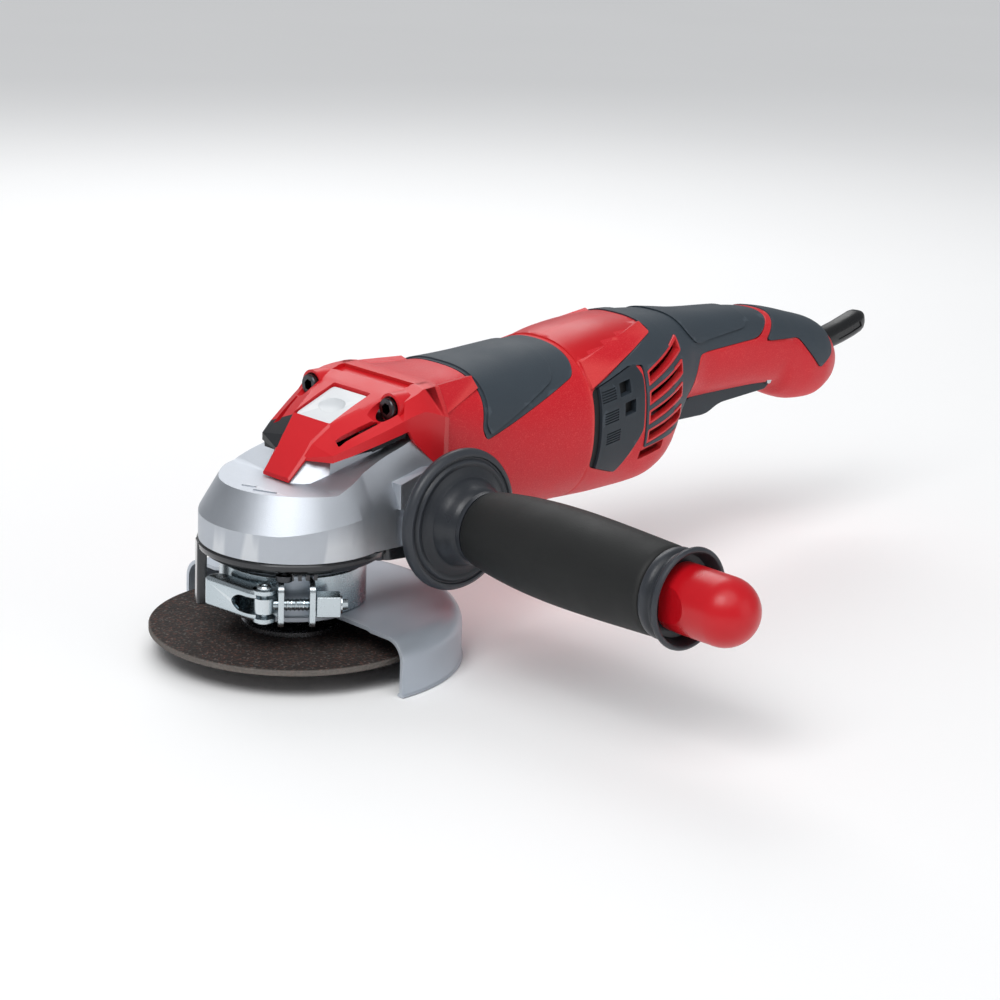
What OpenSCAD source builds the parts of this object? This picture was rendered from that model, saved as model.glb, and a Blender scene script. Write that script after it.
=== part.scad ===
// Angle grinder with a rear paddle handle, a quick-release guard and a screwed-in side handle.
// Millimetres. +Z up along the spindle, +X from the gear head to the tail, side handle towards -Y.
// The origin is the free end of the spindle.

/* [Disc and guard] */
// Diameter of the abrasive disc
disc_d = 115; // [100:1:140]
// Thickness of the abrasive disc
disc_t = 2.5; // [1:0.5:4]
// Gap between the disc's edge and the inside of the guard's skirt
guard_gap = 9.6; // [6:0.2:12]
// Thickness of the guard's sheet steel
guard_t = 1.6; // [1:0.1:2]
// Height of the guard's skirt
skirt_h = 23.3; // [20:0.1:26]

/* [Gear head] */
// Radius of the round front of the gear head
head_r = 38; // [37:0.5:46]
// Radius of the guard neck on the bearing plate
neck_r = 25.2; // [22:0.2:26]
// Radius of the spindle thread
thread_r = 7; // [6:0.5:7]
// Teeth on the crown gear
crown_teeth = 35; // [31:2:37]
// Teeth on the pinion
pinion_teeth = 13; // [12:1:14]
// Distance from the spindle axis to the seam with the motor housing
neck_x = 51; // [50:0.5:56]

/* [Motor] */
// Half the width of the motor housing
body_w = 35; // [34:0.5:42]
// Length of the motor housing
motor_len = 82; // [80:1:100]
// Outer radius of the stator
stator_r = 28.6; // [24:0.2:28.8]
// Radius of the armature core
core_r = 15.5; // [13:0.5:16]

/* [Rear handle] */
// Length of the hood from the motor housing to the grip
hood_len = 90; // [85:1:108]
// Length of the rear grip
grip_len = 104; // [96:1:126]
// Half the width of the rear grip
grip_w = 19.3; // [18:0.1:24]
// Wall thickness of the plastic shells
wall = 2.6; // [2.4:0.1:3]
// Thickness of the soft overmoulded grips
soft_t = 1.3; // [1:0.1:1.4]

/* [Side handle] */
// Length of the side grip between flange and end collar
side_grip_len = 98; // [80:1:118]
// Radius of the side handle's flange
flange_r = 29; // [24:0.5:30]
// Radius of the side grip at its thickest
side_grip_r = 18.6; // [17.5:0.1:22]
// Radius of the handle's thread
stud_r = 4; // [3:0.5:4]

/* [Hidden] */
$fn = 48;
eps = 0.01;
run = 0.06;   // radial clearance of a running fit
seat = 0.02;  // radial clearance of a seated fit
gap = 0.4;    // gap between pieces that only lie side by side

// Spindle stack
shoulder_z = 15.5;
inner_flange_t = 5;
disc_top = shoulder_z - inner_flange_t;
disc_z = disc_top - disc_t;
nut_t = 8;
spanner_r = 11.5;
spanner_hole_r = 2.4;
bore_r = 11.1;
guard_r = disc_d / 2 + guard_gap + guard_t;
plate_z = 21.7;
neck_z0 = 20;
ring_z = 41.5;
head_z = 46.8;
ring_r = head_r + 0.6;
bearing_r = 17.5;
bearing_in = 7.5;
bearing_z = 34.4;
bearing_h = 11;

// Bevel gears: the motor axis lies one pinion radius above the crown gear's pitch circle
crown_r = head_r - 10;
pinion_r = crown_r * pinion_teeth / crown_teeth;
pitch_z = head_z + 16.7;
motor_z = pitch_z + pinion_r;
gear_slope = atan(pinion_r / crown_r);
face_in = crown_r - 7;
face_out = crown_r + 0.5;
tooth_w = 1.6;
tooth_top = 0.8;
tooth_root = 1.2;
web_z = pitch_z - 0.5;
chamber_r = head_r - 7.5;
pinion_room = pinion_r + 2.2;   // half width of the hollow round the pinion
head_flat = head_z + 25;
band_z = head_z + 10.9;
flat_r = head_r - 9.5;

// Upper spindle bush
bush_in = 4;
bush_out = 7;
bush_low = web_z + 1.6;
bush_top = head_flat - 2.4;

// Spindle lock
lock_x = 9.5;
lock_y = -9.5;
lock_r = 2;
lock_hole_r = 2.35;
lock_travel = 4;
lock_pin_z = web_z + 1.2;
button_x0 = 8.5;
button_x1 = 30;
button_w = 12;
button_z0 = motor_z + 20.2;
button_z1 = motor_z + 27.8;
button_t = 3;

// Screws between gear head and motor housing
top_screw = [24, motor_z + 26.4];
low_screw = [24, head_z + 5.2];
screw_head_x = head_r - 12;
screw_r = 2.5;

// Motor along X
shaft_r = 4;
front_x = crown_r + 5;
front_bearing_r = 14;
front_bearing_h = 8;
rear_x = neck_x + motor_len;
fan_x = neck_x + 5;
fan_r = 25.5;
core_x0 = neck_x + 31;
core_x1 = rear_x - 11;
stator_x0 = core_x0 - 2;
stator_x1 = core_x1 + 2;
com_x = rear_x + 1;
com_len = 16;
com_r = 12;
brush_x = com_x + com_len / 2;
boot_x = com_x + com_len + 8;
boot_h = 8;
boot_r = 13.5;
cavity_r = stator_r + 0.7;

// Rear handle
grip_x = rear_x + hood_len;
tail_x = grip_x + grip_len;
grip_low = motor_z - 1.5;
pivot = [grip_x + 48, grip_low + 3.2];
plunger_x = grip_x + 17;
switch_z = grip_low + 13.6;
paddle_top = grip_low + 7.3;
paddle_x0 = grip_x - 20;
vent_h = 4.2;

// Screws that hold the two rear shells, and half the width of the shells at each
shell_screw_at = [[rear_x + 36, motor_z - 24], [rear_x + hood_len * 0.84, motor_z + 31],
  [grip_x + 12, motor_z + 29.5], [grip_x + grip_len * 0.69, motor_z - 4]];
shell_screw_w = [body_w - 11, grip_w - 3, grip_w - 6.6, grip_w - 4.6];

// Cord sleeve: where its axis leaves the tail, and its angle from upright
sleeve_x = tail_x + 1;
sleeve_z = motor_z + 12.2;
sleeve_tilt = 80;
sleeve_len = 25;
sleeve_r = 5.2;
sleeve_bore = 3.6;

// Guard clamp, laid out round the spindle
clamp_angle = -127;
clamp_z = 29.5;
clamp_r = 34.5;
ear_gap = 10;
ear_t = 2.2;
band_r = neck_r + 2;
band_t = 1.8;
lever_at = [clamp_r, ear_gap / 2 + 7.5];
lever_turn = -136.5;

// Side handle
side_x = neck_x - 7.5;
side_z = head_z + 11.2;
boss_y = head_r + 0.4;
socket_len = 11.5;
boss_r = neck_x - side_x - 0.2;
side_y0 = boss_y + 8;
side_rim = 7;
side_cone = 12;
side_y1 = side_y0 + side_rim + side_cone;
side_y2 = side_y1 + side_grip_len;
collar_len = 11;
side_core_r = 10;
key_r = 13.2;
key_len = 34;

// ---------- helpers ----------

// A flat shape in (Y, Z) pushed along X.
module prism_x(x0, x1) {
  translate([x0, 0, 0]) rotate([90, 0, 90]) linear_extrude(x1 - x0) children();
}

// A flat shape in (X, Z) pushed along Y.
module prism_y(y0, y1) {
  translate([0, y1, 0]) rotate([90, 0, 0]) linear_extrude(y1 - y0) children();
}

// A flat shape in (X, Y) pushed along Z.
module prism_z(z0, z1) {
  translate([0, 0, z0]) linear_extrude(z1 - z0) children();
}

module rod_x(x0, x1, r, r2 = 0) {
  translate([x0, 0, 0]) rotate([0, 90, 0]) cylinder(h = x1 - x0, r1 = r, r2 = r2 > 0 ? r2 : r);
}

module rod_y(y0, y1, r) {
  translate([0, y1, 0]) rotate([90, 0, 0]) cylinder(h = y1 - y0, r = r);
}

module rod_z(z0, z1, r) {
  translate([0, 0, z0]) cylinder(h = z1 - z0, r = r);
}

module tube_x(x0, x1, r_in, r_out) {
  difference() {
    rod_x(x0, x1, r_out);
    rod_x(x0 - 1, x1 + 1, r_in);
  }
}

module tube_z(z0, z1, r_in, r_out) {
  difference() {
    rod_z(z0, z1, r_out);
    rod_z(z0 - 1, z1 + 1, r_in);
  }
}

module both_sides() {
  children();
  mirror([0, 1, 0]) children();
}

// Moves what is drawn round the X axis to the motor axis.
module on_motor() {
  translate([0, 0, motor_z]) children();
}

// Moves what is drawn round the Z axis to the side handle, with +Z pointing out along -Y.
module on_side() {
  translate([side_x, 0, side_z]) rotate([90, 0, 0]) children();
}

// Joins a row of closed outlines, each with the same number of points, into one solid.
module loft(rows) {
  n = len(rows[0]);
  m = len(rows);
  sides = [for (j = [0:m - 2], i = [0:n - 1], k = [0, 1])
    k == 0 ? [j * n + i, j * n + (i + 1) % n, (j + 1) * n + i]
           : [j * n + (i + 1) % n, (j + 1) * n + (i + 1) % n, (j + 1) * n + i]];
  ends = [[for (i = [n - 1:-1:0]) i], [for (i = [0:n - 1]) (m - 1) * n + i]];
  polyhedron(points = [for (r = rows, p = r) p], faces = concat(sides, ends), convexity = 6);
}

// A rounded section across X. s is [x, half width, top, bottom, squareness], drawn in by t.
function round_row(s, t, n = 28) = let (mid = (s[2] + s[3]) / 2, h = (s[2] - s[3]) / 2 - t, w = s[1] - t)
  [for (i = [0:n - 1]) let (a = -360 * i / n, c = cos(a), d = sin(a))
    [s[0], w * sign(c) * pow(abs(c), 2 / s[4]), mid + h * sign(d) * pow(abs(d), 2 / s[4])]];

// An eight-sided section across X. s is [x, foot width, foot, waist width, waist, top width, top].
function box_row(s) = [[s[0], s[1], s[2]], [s[0], -s[1], s[2]], [s[0], -s[3], s[4]], [s[0], -s[5], s[6]],
  [s[0], s[5], s[6]], [s[0], s[3], s[4]]];

// A coil of round wire about Z, between two heights.
module coil(r, wire, z0, z1, turns) {
  steps = turns * 14;
  loft([for (i = [0:steps]) let (a = i * turns * 360 / steps)
    [for (k = [0:5]) let (b = -k * 60, q = r + wire * cos(b))
      [q * cos(a), q * sin(a), z0 + wire + (z1 - z0 - 2 * wire) * i / steps + wire * sin(b)]]]);
}

// A socket-head screw along +X with the underside of its head at x = 0.
module cap_screw(r, long, head_r2, head_h) {
  difference() {
    union() {
      rod_x(-eps, long, r);
      rod_x(-head_h, 0, head_r2);
    }
    translate([-head_h - 1, 0, 0]) rotate([0, 90, 0]) cylinder(h = head_h * 0.6 + 1, r = r * 0.95, $fn = 6);
  }
}

// ---------- disc and guard ----------

module disc() {
  color([0.16, 0.12, 0.11]) tube_z(disc_z, disc_top, bore_r, disc_d / 2);
}

// Points on an arc of radius r round (cx, cy), from angle a0 to a1.
function arc(cx, cy, r, a0, a1, n = 6) = [for (i = [0:n]) let (a = a0 + (a1 - a0) * i / n)
  [cx + r * cos(a), cy + r * sin(a)]];

// Half section of the guard: neck, plate, rounded shoulder, skirt and rolled lip.
module guard_section() {
  low = plate_z - skirt_h;
  bend = 7;
  polygon(concat(
    [[neck_r + 0.3, plate_z - guard_t], [neck_r + 0.3, ring_z - 2.5], [band_r, ring_z - 2.5], [band_r, plate_z]],
    arc(guard_r - bend, plate_z - bend, bend, 90, 0),
    [[guard_r, low + 1], [guard_r + 0.8, low], [guard_r - guard_t - 1.2, low],
     [guard_r - guard_t - 1.2, low + 1.2], [guard_r - guard_t, low + 1.2]],
    arc(guard_r - bend, plate_z - bend, bend - guard_t, 0, 90)));
}

module guard() {
  color([0.66, 0.7, 0.74]) difference() {
    rotate_extrude($fn = 96) guard_section();
    // The front is open, but for the ring round the neck
    difference() {
      translate([-100, -100, -50]) cube([98.8, 200, 120]);
      rod_z(-51, 71, neck_r + 3.4);
    }
  }
}

module clamp_band() {
  z0 = plate_z + 0.3;
  z1 = ring_z - 3;
  color([0.7, 0.74, 0.78]) rotate([0, 0, clamp_angle]) difference() {
    prism_z(z0, z1) {
      difference() {
        circle(r = band_r + band_t);
        circle(r = band_r + seat);
        translate([0, -ear_gap / 2]) square([60, ear_gap]);
      }
      for (side = [0, 1]) mirror([0, side]) translate([band_r + 0.6, ear_gap / 2]) square([12.4, ear_t]);
    }
    // The ears are lower than the band
    translate([band_r + band_t + 0.4, -30, z1 - 2.1]) cube([60, 60, 10]);
    translate([clamp_r, 0, clamp_z]) rod_y(-30, 30, screw_r + 0.3);
  }
}

// The screw lies along local Y, with an eye round the rivet at its lever end.
module clamp_screw() {
  color([0.72, 0.75, 0.78]) rotate([0, 0, clamp_angle]) {
    difference() {
      union() {
        translate([clamp_r, 0, clamp_z]) rod_y(-lever_at[1] + 1, ear_gap / 2 + 15, screw_r);
        translate([lever_at[0], -lever_at[1], 0]) rod_z(clamp_z - 3, clamp_z + 3, 4);
      }
      translate([lever_at[0], -lever_at[1], 0]) rod_z(clamp_z - 9, clamp_z + 9, 1.7 + seat);
    }
    for (i = [0:4]) translate([clamp_r, -ear_gap / 2 + 1.2 + i * 1.9, clamp_z]) rod_y(-0.4, 0.4, screw_r + 0.5);
  }
}

module clamp_nut() {
  color([0.6, 0.66, 0.7]) rotate([0, 0, clamp_angle]) difference() {
    translate([clamp_r - 4.2, ear_gap / 2 + ear_t + gap, clamp_z - 4.2]) cube([8.4, 9.6, 8.4]);
    translate([clamp_r, 0, clamp_z]) rod_y(0, 40, screw_r + seat);
  }
}

module at_lever() {
  rotate([0, 0, clamp_angle]) translate([lever_at[0], -lever_at[1], 0]) rotate([0, 0, lever_turn]) children();
}

// A channel of bent sheet: two flanges that fork round the rivet and a web on the outer side.
module clamp_lever() {
  z0 = clamp_z - 6.4;
  z1 = clamp_z + 6.4;
  long = 31;
  color([0.7, 0.75, 0.78]) at_lever() difference() {
    union() {
      for (z = [z0, z1 - 1.5]) {
        rod_z(z, z + 1.5, 4.6);
        prism_z(z, z + 1.5) polygon([[0, -3.4], [long - 4, -3.4], [long, 0], [long, 5], [4, 5.6], [0, 4.6]]);
      }
      prism_z(z0, z1) polygon([[7, 5.45], [7, 4], [long, 3.4], [long, 5]]);
    }
    rod_z(z0 - 1, z1 + 1, 1.78);
  }
}

module lever_rivet() {
  color([0.8, 0.82, 0.84]) at_lever() {
    rod_z(clamp_z - 7.6, clamp_z + 7.6, 1.7);
    rod_z(clamp_z + 6.6, clamp_z + 7.8, 3);
    rod_z(clamp_z - 7.8, clamp_z - 6.6, 3);
  }
}

module inner_flange() {
  color([0.55, 0.57, 0.6]) difference() {
    union() {
      rod_z(disc_top, shoulder_z, 20.5);
      rod_z(disc_z + 0.4, disc_top + eps, bore_r - 0.15);
    }
    rod_z(disc_z - 1, shoulder_z + 1, thread_r + seat);
  }
}

module flange_nut() {
  color([0.3, 0.31, 0.33]) difference() {
    union() {
      rod_z(disc_z - 2.4, disc_z, 20);
      rod_z(disc_z - nut_t, disc_z - 2.4 + eps, 16);
    }
    rod_z(disc_z - nut_t - 1, disc_z + 1, thread_r + seat);
    for (y = [-spanner_r, spanner_r]) translate([0, y, 0]) rod_z(disc_z - nut_t - 1, disc_z - 2, spanner_hole_r);
  }
}

// ---------- spindle and gears ----------

module spindle() {
  color([0.62, 0.63, 0.66]) rotate_extrude() polygon([[0, 0], [thread_r - 1, 0], [thread_r, 1],
    [thread_r, shoulder_z], [9.5, shoulder_z], [9.5, bearing_z], [bearing_in - seat, bearing_z],
    [bearing_in - seat, web_z + 0.8], [bush_in, web_z + 0.8], [bush_in, bush_top - 0.3], [0, bush_top - 0.3]]);
}

// A sealed ball bearing about Z, standing on z = 0.
module ball_bearing(r_in, r_out, h) {
  seal = (r_out - r_in) * 0.28;
  difference() {
    rod_z(0, h, r_out);
    rod_z(-1, h + 1, r_in);
    for (z = [-eps, h - 0.5]) tube_z(z, z + 0.5 + eps, r_in + seal, r_out - seal);
  }
}

module spindle_bearing() {
  color([0.75, 0.75, 0.77]) translate([0, 0, bearing_z]) ball_bearing(bearing_in + run, bearing_r, bearing_h);
}

module spindle_bush() {
  color([0.72, 0.55, 0.3]) tube_z(bush_low, bush_top, bush_in + run, bush_out);
}

// One tooth lying along the pitch cone, seen from its apex. out = 1 for the crown, -1 for the pinion.
module tooth(out) {
  root = tooth_w / 2 + 1.8 * tan(20);
  tip = tooth_w / 2 - tooth_top * tan(20);
  far = face_out / cos(gear_slope);
  near = face_in / cos(gear_slope);
  rotate([0, gear_slope, 0]) prism_x(near, far)
    polygon([[-root, -1.8 * out], [root, -1.8 * out], [tip, tooth_top * out], [-tip, tooth_top * out]]);
}

module crown_gear() {
  drop = tan(gear_slope);
  root_out = motor_z - (face_out + 0.4) * drop - tooth_root;
  root_in = motor_z - (face_in - 0.4) * drop - tooth_root;
  color([0.45, 0.46, 0.48]) difference() {
    union() {
      rotate_extrude() polygon([[bearing_in, bearing_z + bearing_h + 0.2], [10, bearing_z + bearing_h + 0.2],
        [12, web_z - 8], [face_out - 4, web_z - 8], [face_out + 0.4, web_z - 5], [face_out + 0.4, root_out],
        [face_in - 0.4, root_in], [face_in - 1.4, web_z], [bearing_in, web_z]]);
      translate([0, 0, motor_z]) for (i = [0:crown_teeth - 1]) rotate([0, 0, (i + 0.5) * 360 / crown_teeth]) tooth(1);
    }
    for (a = [0:90:270]) rotate([0, 0, a]) translate([lock_x, lock_y, 0]) rod_z(web_z - 9, web_z + 1, lock_hole_r);
  }
}

module pinion() {
  drop = tan(gear_slope);
  color([0.5, 0.51, 0.53]) on_motor() difference() {
    union() {
      rod_x(face_in, face_out, face_in * drop - tooth_root, face_out * drop - tooth_root);
      rod_x(face_out - eps, front_x - 0.4, 8);
      for (i = [0:pinion_teeth - 1]) rotate([i * 360 / pinion_teeth, 0, 0]) tooth(-1);
    }
    rod_x(0, 60, shaft_r + seat);
  }
}

module pinion_nut() {
  color([0.35, 0.36, 0.38]) on_motor() difference() {
    translate([face_in - 4.4, 0, 0]) rotate([0, 90, 0]) cylinder(h = 4.2, r = 6, $fn = 6);
    rod_x(0, 60, shaft_r + seat);
  }
}

module bearing_plate() {
  color([0.1, 0.1, 0.11]) {
    difference() {
      union() {
        rod_z(neck_z0, ring_z + 1, neck_r);
        rotate_extrude() polygon([[0, ring_z], [ring_r - 2.4, ring_z], [ring_r, ring_z + 1.6], [ring_r, head_z], [0, head_z]]);
        rod_z(head_z - eps, head_z + 1.8, chamber_r - 0.1);
      }
      rod_z(bearing_z, head_z + 5, bearing_r + seat);
      rod_z(head_z - 1, head_z + 5, chamber_r - 3);
      rod_z(neck_z0 - 1, bearing_z + 1, 11.5);
      plate_screw_places() rod_z(0, 100, 2.15);
    }
    rotate([0, 0, 149]) prism_z(plate_z + 0.9, head_z - 0.5)
      polygon([[ring_r - 3.2, -4], [ring_r - 0.4, -4], [ring_r - 0.4, 4], [ring_r - 3.2, 4]]);
  }
}

module plate_screw_places() {
  for (a = [45:90:315]) rotate([0, 0, a]) translate([head_r - 3.9, 0, 0]) children();
}

module plate_screws() {
  color([0.12, 0.12, 0.13]) plate_screw_places() difference() {
    union() {
      rod_z(ring_z - 2.6, ring_z, 3.4);
      rod_z(ring_z - eps, head_z + 8, 2);
    }
    translate([0, 0, ring_z - 3.6]) cylinder(h = 2.4, r = 1.7, $fn = 6);
  }
}

// ---------- gear head ----------

// Outer form of the head without its rear flange, drawn in by t.
module head_form() {
  slope = (head_r - flat_r) / (head_flat - band_z);
  top = motor_z + 14.4;
  intersection() {
    union() {
      rotate_extrude() polygon([[0, head_z], [head_r, head_z], [head_r, band_z],
        [head_r - slope * (top - band_z), top], [0, top]]);
      loft([box_row([0, head_r, head_z, head_r, band_z, head_r - slope * (top - band_z), top]),
            box_row([12, head_r - 2, head_z, head_r - 2, band_z + 6.4, head_r - 16, top]),
            box_row([22, head_r - 3.5, head_z, head_r - 3.5, band_z + 8, head_r - 12, top]),
            box_row([neck_x, head_r - 4, head_z, head_r - 4, motor_z + 2, head_r - 8, top])]);
    }
    prism_y(-60, 60) polygon([[-60, head_z - 1], [neck_x + 1, head_z - 1], [neck_x + 1, top],
      [18, top], [4, head_flat + 9], [-7, head_flat], [-60, head_flat]]);
  }
}

module gear_head() {
  color([0.78, 0.8, 0.83]) difference() {
    union() {
      head_form();
      both_sides() prism_y(-boss_y + 0.4, -28) polygon([[side_x - 21.5, side_z - 8], [side_x - 21.5, side_z + 15],
        [side_x - 6.8, side_z + 19], [neck_x - 7.5, side_z + 19], [neck_x - 3, side_z + 14.6],
        [neck_x, side_z + 14.6], [neck_x, side_z - 8]]);
      both_sides() translate([side_x, 0, side_z]) rod_y(-boss_y, -28, boss_r);
      prism_x(neck_x - 8, neck_x) polygon([[-29, motor_z], [-29, top_screw[1]], [-26, top_screw[1] + 4.4],
        [26, top_screw[1] + 4.4], [29, top_screw[1]], [29, motor_z]]);
      both_sides() translate([0, top_screw[0], top_screw[1]]) rod_x(screw_head_x + 4.5, neck_x, 4.8);
    }
    // Crown gear chamber, with room above for the pinion
    rod_z(head_z - 1, band_z + 6.2, chamber_r);
    translate([0, 0, band_z + 6.2 - eps]) cylinder(h = 5.2, r1 = chamber_r, r2 = chamber_r - 7);
    prism_x(lock_x + 4, front_x) polygon([[-pinion_room, pitch_z - 5], [-pinion_room, motor_z + 6],
      [-8, motor_z + pinion_room - 0.7], [8, motor_z + pinion_room - 0.7], [pinion_room, motor_z + 6],
      [pinion_room, pitch_z - 5]]);
    on_motor() {
      rod_x(front_x - eps, front_x + front_bearing_h + 1, front_bearing_r + seat);
      rod_x(front_x, neck_x + 1, front_bearing_r - 1.5);
      rod_x(front_x + front_bearing_h, neck_x + 1, front_bearing_r + seat);
    }
    // Seat of the upper bush, lock pin bore, handle sockets and screw holes
    rod_z(web_z + 1, bush_top + 0.2, bush_out + seat);
    translate([lock_x, lock_y, 0]) rod_z(web_z, motor_z + 30, lock_r + run);
    translate([lock_x, lock_y, 0]) rod_z(head_flat + 6.4, motor_z + 30, 4.1);
    both_sides() translate([side_x, 0, side_z]) rod_y(-boss_y - 1, -boss_y + socket_len, stud_r + seat);
    both_sides() translate([0, top_screw[0], top_screw[1]]) rod_x(0, neck_x + 1, screw_r + 0.2);
    both_sides() translate([0, low_screw[0], low_screw[1]]) {
      rod_x(0, neck_x + 1, screw_r + 0.2);
      rod_x(screw_head_x - 2, screw_head_x + 4.5, 4.6);
    }
    plate_screw_places() rod_z(head_z - 1, head_z + 8.5, 2 + seat);
    // Arched relief under the rear, in front of the side handle
    both_sides() prism_y(-60, -20) polygon([[side_x - 18, head_z - 1], [side_x - 14, head_z + 3.2],
      [side_x - 4, head_z + 3.6], [side_x + 1, head_z - 1]]);
  }
  // Roof boss that carries the upper bush
  color([0.78, 0.8, 0.83]) tube_z(bush_low, bush_top + 0.4, bush_out + seat, 9.5);
}

// Sections of the red cover, drawn in by t: [x, foot width, foot, waist width, waist, top width, top].
function cover_rows(t) = [for (s = [
  [-11 + t, 8, head_flat + 0.4, 8, head_flat + 1.2, 7.2, head_flat + 2.4],
  [-1, 8.6, head_flat + 3, 9.5, motor_z + 8.6, 7, motor_z + 10.6],
  [4, 15, motor_z + 6, 15.5, motor_z + 13, 12.5, motor_z + 16.8],
  [button_x0, 23, motor_z + 6.4, 24, motor_z + 15.6, 15, button_z0],
  [screw_head_x, 30, motor_z + 12, 30.5, motor_z + 20.5, 22, button_z1 - 1.2],
  [screw_head_x + 3.4, 30.5, motor_z + 13, 31, motor_z + 29.5, 26, motor_z + 33],
  [neck_x, 32.5, motor_z + 1, 33, motor_z + 28, 26, motor_z + 33.6]])
  [s[0], s[1] - t, s[2] - t, s[3] - t, s[4] - t, s[5] - t * 0.8, s[6] - t]];

module gear_cover() {
  low = motor_z + 7;
  color([0.86, 0.03, 0.1]) difference() {
    loft([for (s = cover_rows(0)) box_row(s)]);
    difference() {
      translate([eps, 0, 0]) loft([for (s = cover_rows(2.4)) box_row(s)]);
      translate([-20, -50, 0]) cube([22, 100, 300]);
    }
    translate([0, 0, -eps]) scale([1, 1.004, 1]) head_form();
    // Straight run of the lower edge and the diagonal behind it
    prism_y(-60, 60) polygon([[-1, head_z], [-1, low + 0.6], [3, low], [33, motor_z + 15],
      [36, motor_z + 11], [neck_x - 3, motor_z], [neck_x + 1, motor_z], [neck_x + 1, head_z]]);
    // Button opening, screw recesses, head flange and side slots
    prism_z(motor_z, motor_z + 60) polygon([[button_x0, -button_w], [button_x0, button_w],
      [button_x1, button_w], [button_x1, -button_w]]);
    both_sides() translate([0, top_screw[0], top_screw[1]]) {
      rod_x(0, screw_head_x + 4.6, 4.9);
      rod_x(screw_head_x, neck_x + 1, 5.1);
    }
    prism_x(neck_x - 8.4, neck_x + 1) polygon([[-29.4, low], [-29.4, top_screw[1] + 0.2],
      [-26.2, top_screw[1] + 4.7], [26.2, top_screw[1] + 4.7], [29.4, top_screw[1] + 0.2], [29.4, low]]);
    both_sides() prism_y(-60, -14) polygon([[5, motor_z + 15.6], [5.6, motor_z + 18], [21, motor_z + 24],
      [20.4, motor_z + 21.4]]);
  }
}

module neck_screws() {
  color([0.08, 0.08, 0.09]) both_sides() for (s = [top_screw, low_screw])
    translate([screw_head_x + 4.5, s[0], s[1]]) cap_screw(screw_r, neck_x + 11 - screw_head_x - 4.5, 4.2, 4.2);
}

// ---------- spindle lock ----------

// Height of the button's sloping face above the origin, at a distance x along the tool.
function button_top(x) = button_z0 + 0.6 + (button_z1 - button_z0) * (x - button_x0) / (button_x1 - button_x0);

module lock_button() {
  x0 = button_x0 + gap;
  x1 = button_x1 - gap;
  w = button_w - gap;
  color([0.83, 0.85, 0.86]) difference() {
    union() {
      prism_y(-w, w) polygon([[x0, button_top(x0)], [x1, button_top(x1)], [x1, button_top(x1) - button_t],
        [x0, button_top(x0) - button_t]]);
      translate([x0 + 1.9, lock_y + 0.4, 0]) rod_z(button_z0 - 4.2, button_z0 - 1, 1.6);
    }
    // Finger dimple
    translate([(x0 + x1) / 2, 0, button_top((x0 + x1) / 2) + 15.6]) sphere(r = 17);
  }
}

module lock_pin() {
  color([0.66, 0.67, 0.7]) translate([lock_x, lock_y, 0]) {
    rod_z(lock_pin_z, button_z0 - 4.2, lock_r);
    rod_z(button_z0 - 5.4, button_z0 - 4.4, 3.4);
  }
}

module lock_spring() {
  color([0.75, 0.76, 0.78]) translate([lock_x, lock_y, 0]) coil(2.9, 0.35, head_flat + 6.5, button_z0 - 5.5, 4);
}

// ---------- motor ----------

module front_bearing() {
  color([0.75, 0.75, 0.77]) translate([front_x, 0, motor_z]) rotate([0, 90, 0])
    ball_bearing(6 + run, front_bearing_r, front_bearing_h);
}

module armature_shaft() {
  color([0.62, 0.63, 0.66]) on_motor() {
    rod_x(face_in - 5.2, front_x - 0.4, shaft_r);
    rod_x(front_x - 0.4 - eps, core_x0 - 0.2, 6);
    rod_x(core_x0 - 0.2 - eps, boot_x + boot_h + 1, shaft_r);
  }
}

module fan() {
  blades = 14;
  color([0.85, 0.84, 0.8]) on_motor() {
    difference() {
      union() {
        rod_x(fan_x, fan_x + 2, fan_r);
        rod_x(fan_x, fan_x + 12, 9);
        for (i = [0:blades - 1]) rotate([i * 360 / blades, 0, 0])
          translate([fan_x + 1.9, -0.8, 8]) cube([9, 1.6, fan_r - 8.6]);
      }
      rod_x(fan_x - 1, fan_x + 13, 6 + seat);
    }
  }
}

module air_baffle() {
  color([0.2, 0.2, 0.21]) on_motor() tube_x(fan_x + 13, fan_x + 15, 18, cavity_r - seat);
}

module armature_core() {
  slots = 12;
  color([0.42, 0.43, 0.45]) on_motor() difference() {
    rod_x(core_x0, core_x1, core_r);
    rod_x(core_x0 - 1, core_x1 + 1, shaft_r + seat);
    for (i = [0:slots - 1]) rotate([i * 360 / slots, 0, 0])
      translate([core_x0 - 1, -0.9, core_r - 5]) cube([core_x1 - core_x0 + 2, 1.8, 6]);
  }
}

module armature_windings() {
  color([0.7, 0.38, 0.16]) on_motor() for (x = [core_x0 - 6.5, core_x1 + 0.2])
    translate([x, 0, 0]) rotate([0, 90, 0]) rotate_extrude()
      polygon([[6.2, 0], [core_r - 4, 0], [core_r - 1.5, 2], [core_r - 1.5, 4.3], [core_r - 4, 6.3], [6.2, 6.3]]);
}

module commutator() {
  bars = 20;
  color([0.8, 0.48, 0.25]) on_motor() difference() {
    rod_x(com_x, com_x + com_len, com_r);
    rod_x(com_x - 1, com_x + com_len + 1, shaft_r + seat);
    for (i = [0:bars - 1]) rotate([i * 360 / bars, 0, 0])
      translate([com_x + 3, -0.25, com_r - 1]) cube([com_len, 0.5, 2]);
  }
}

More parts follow.
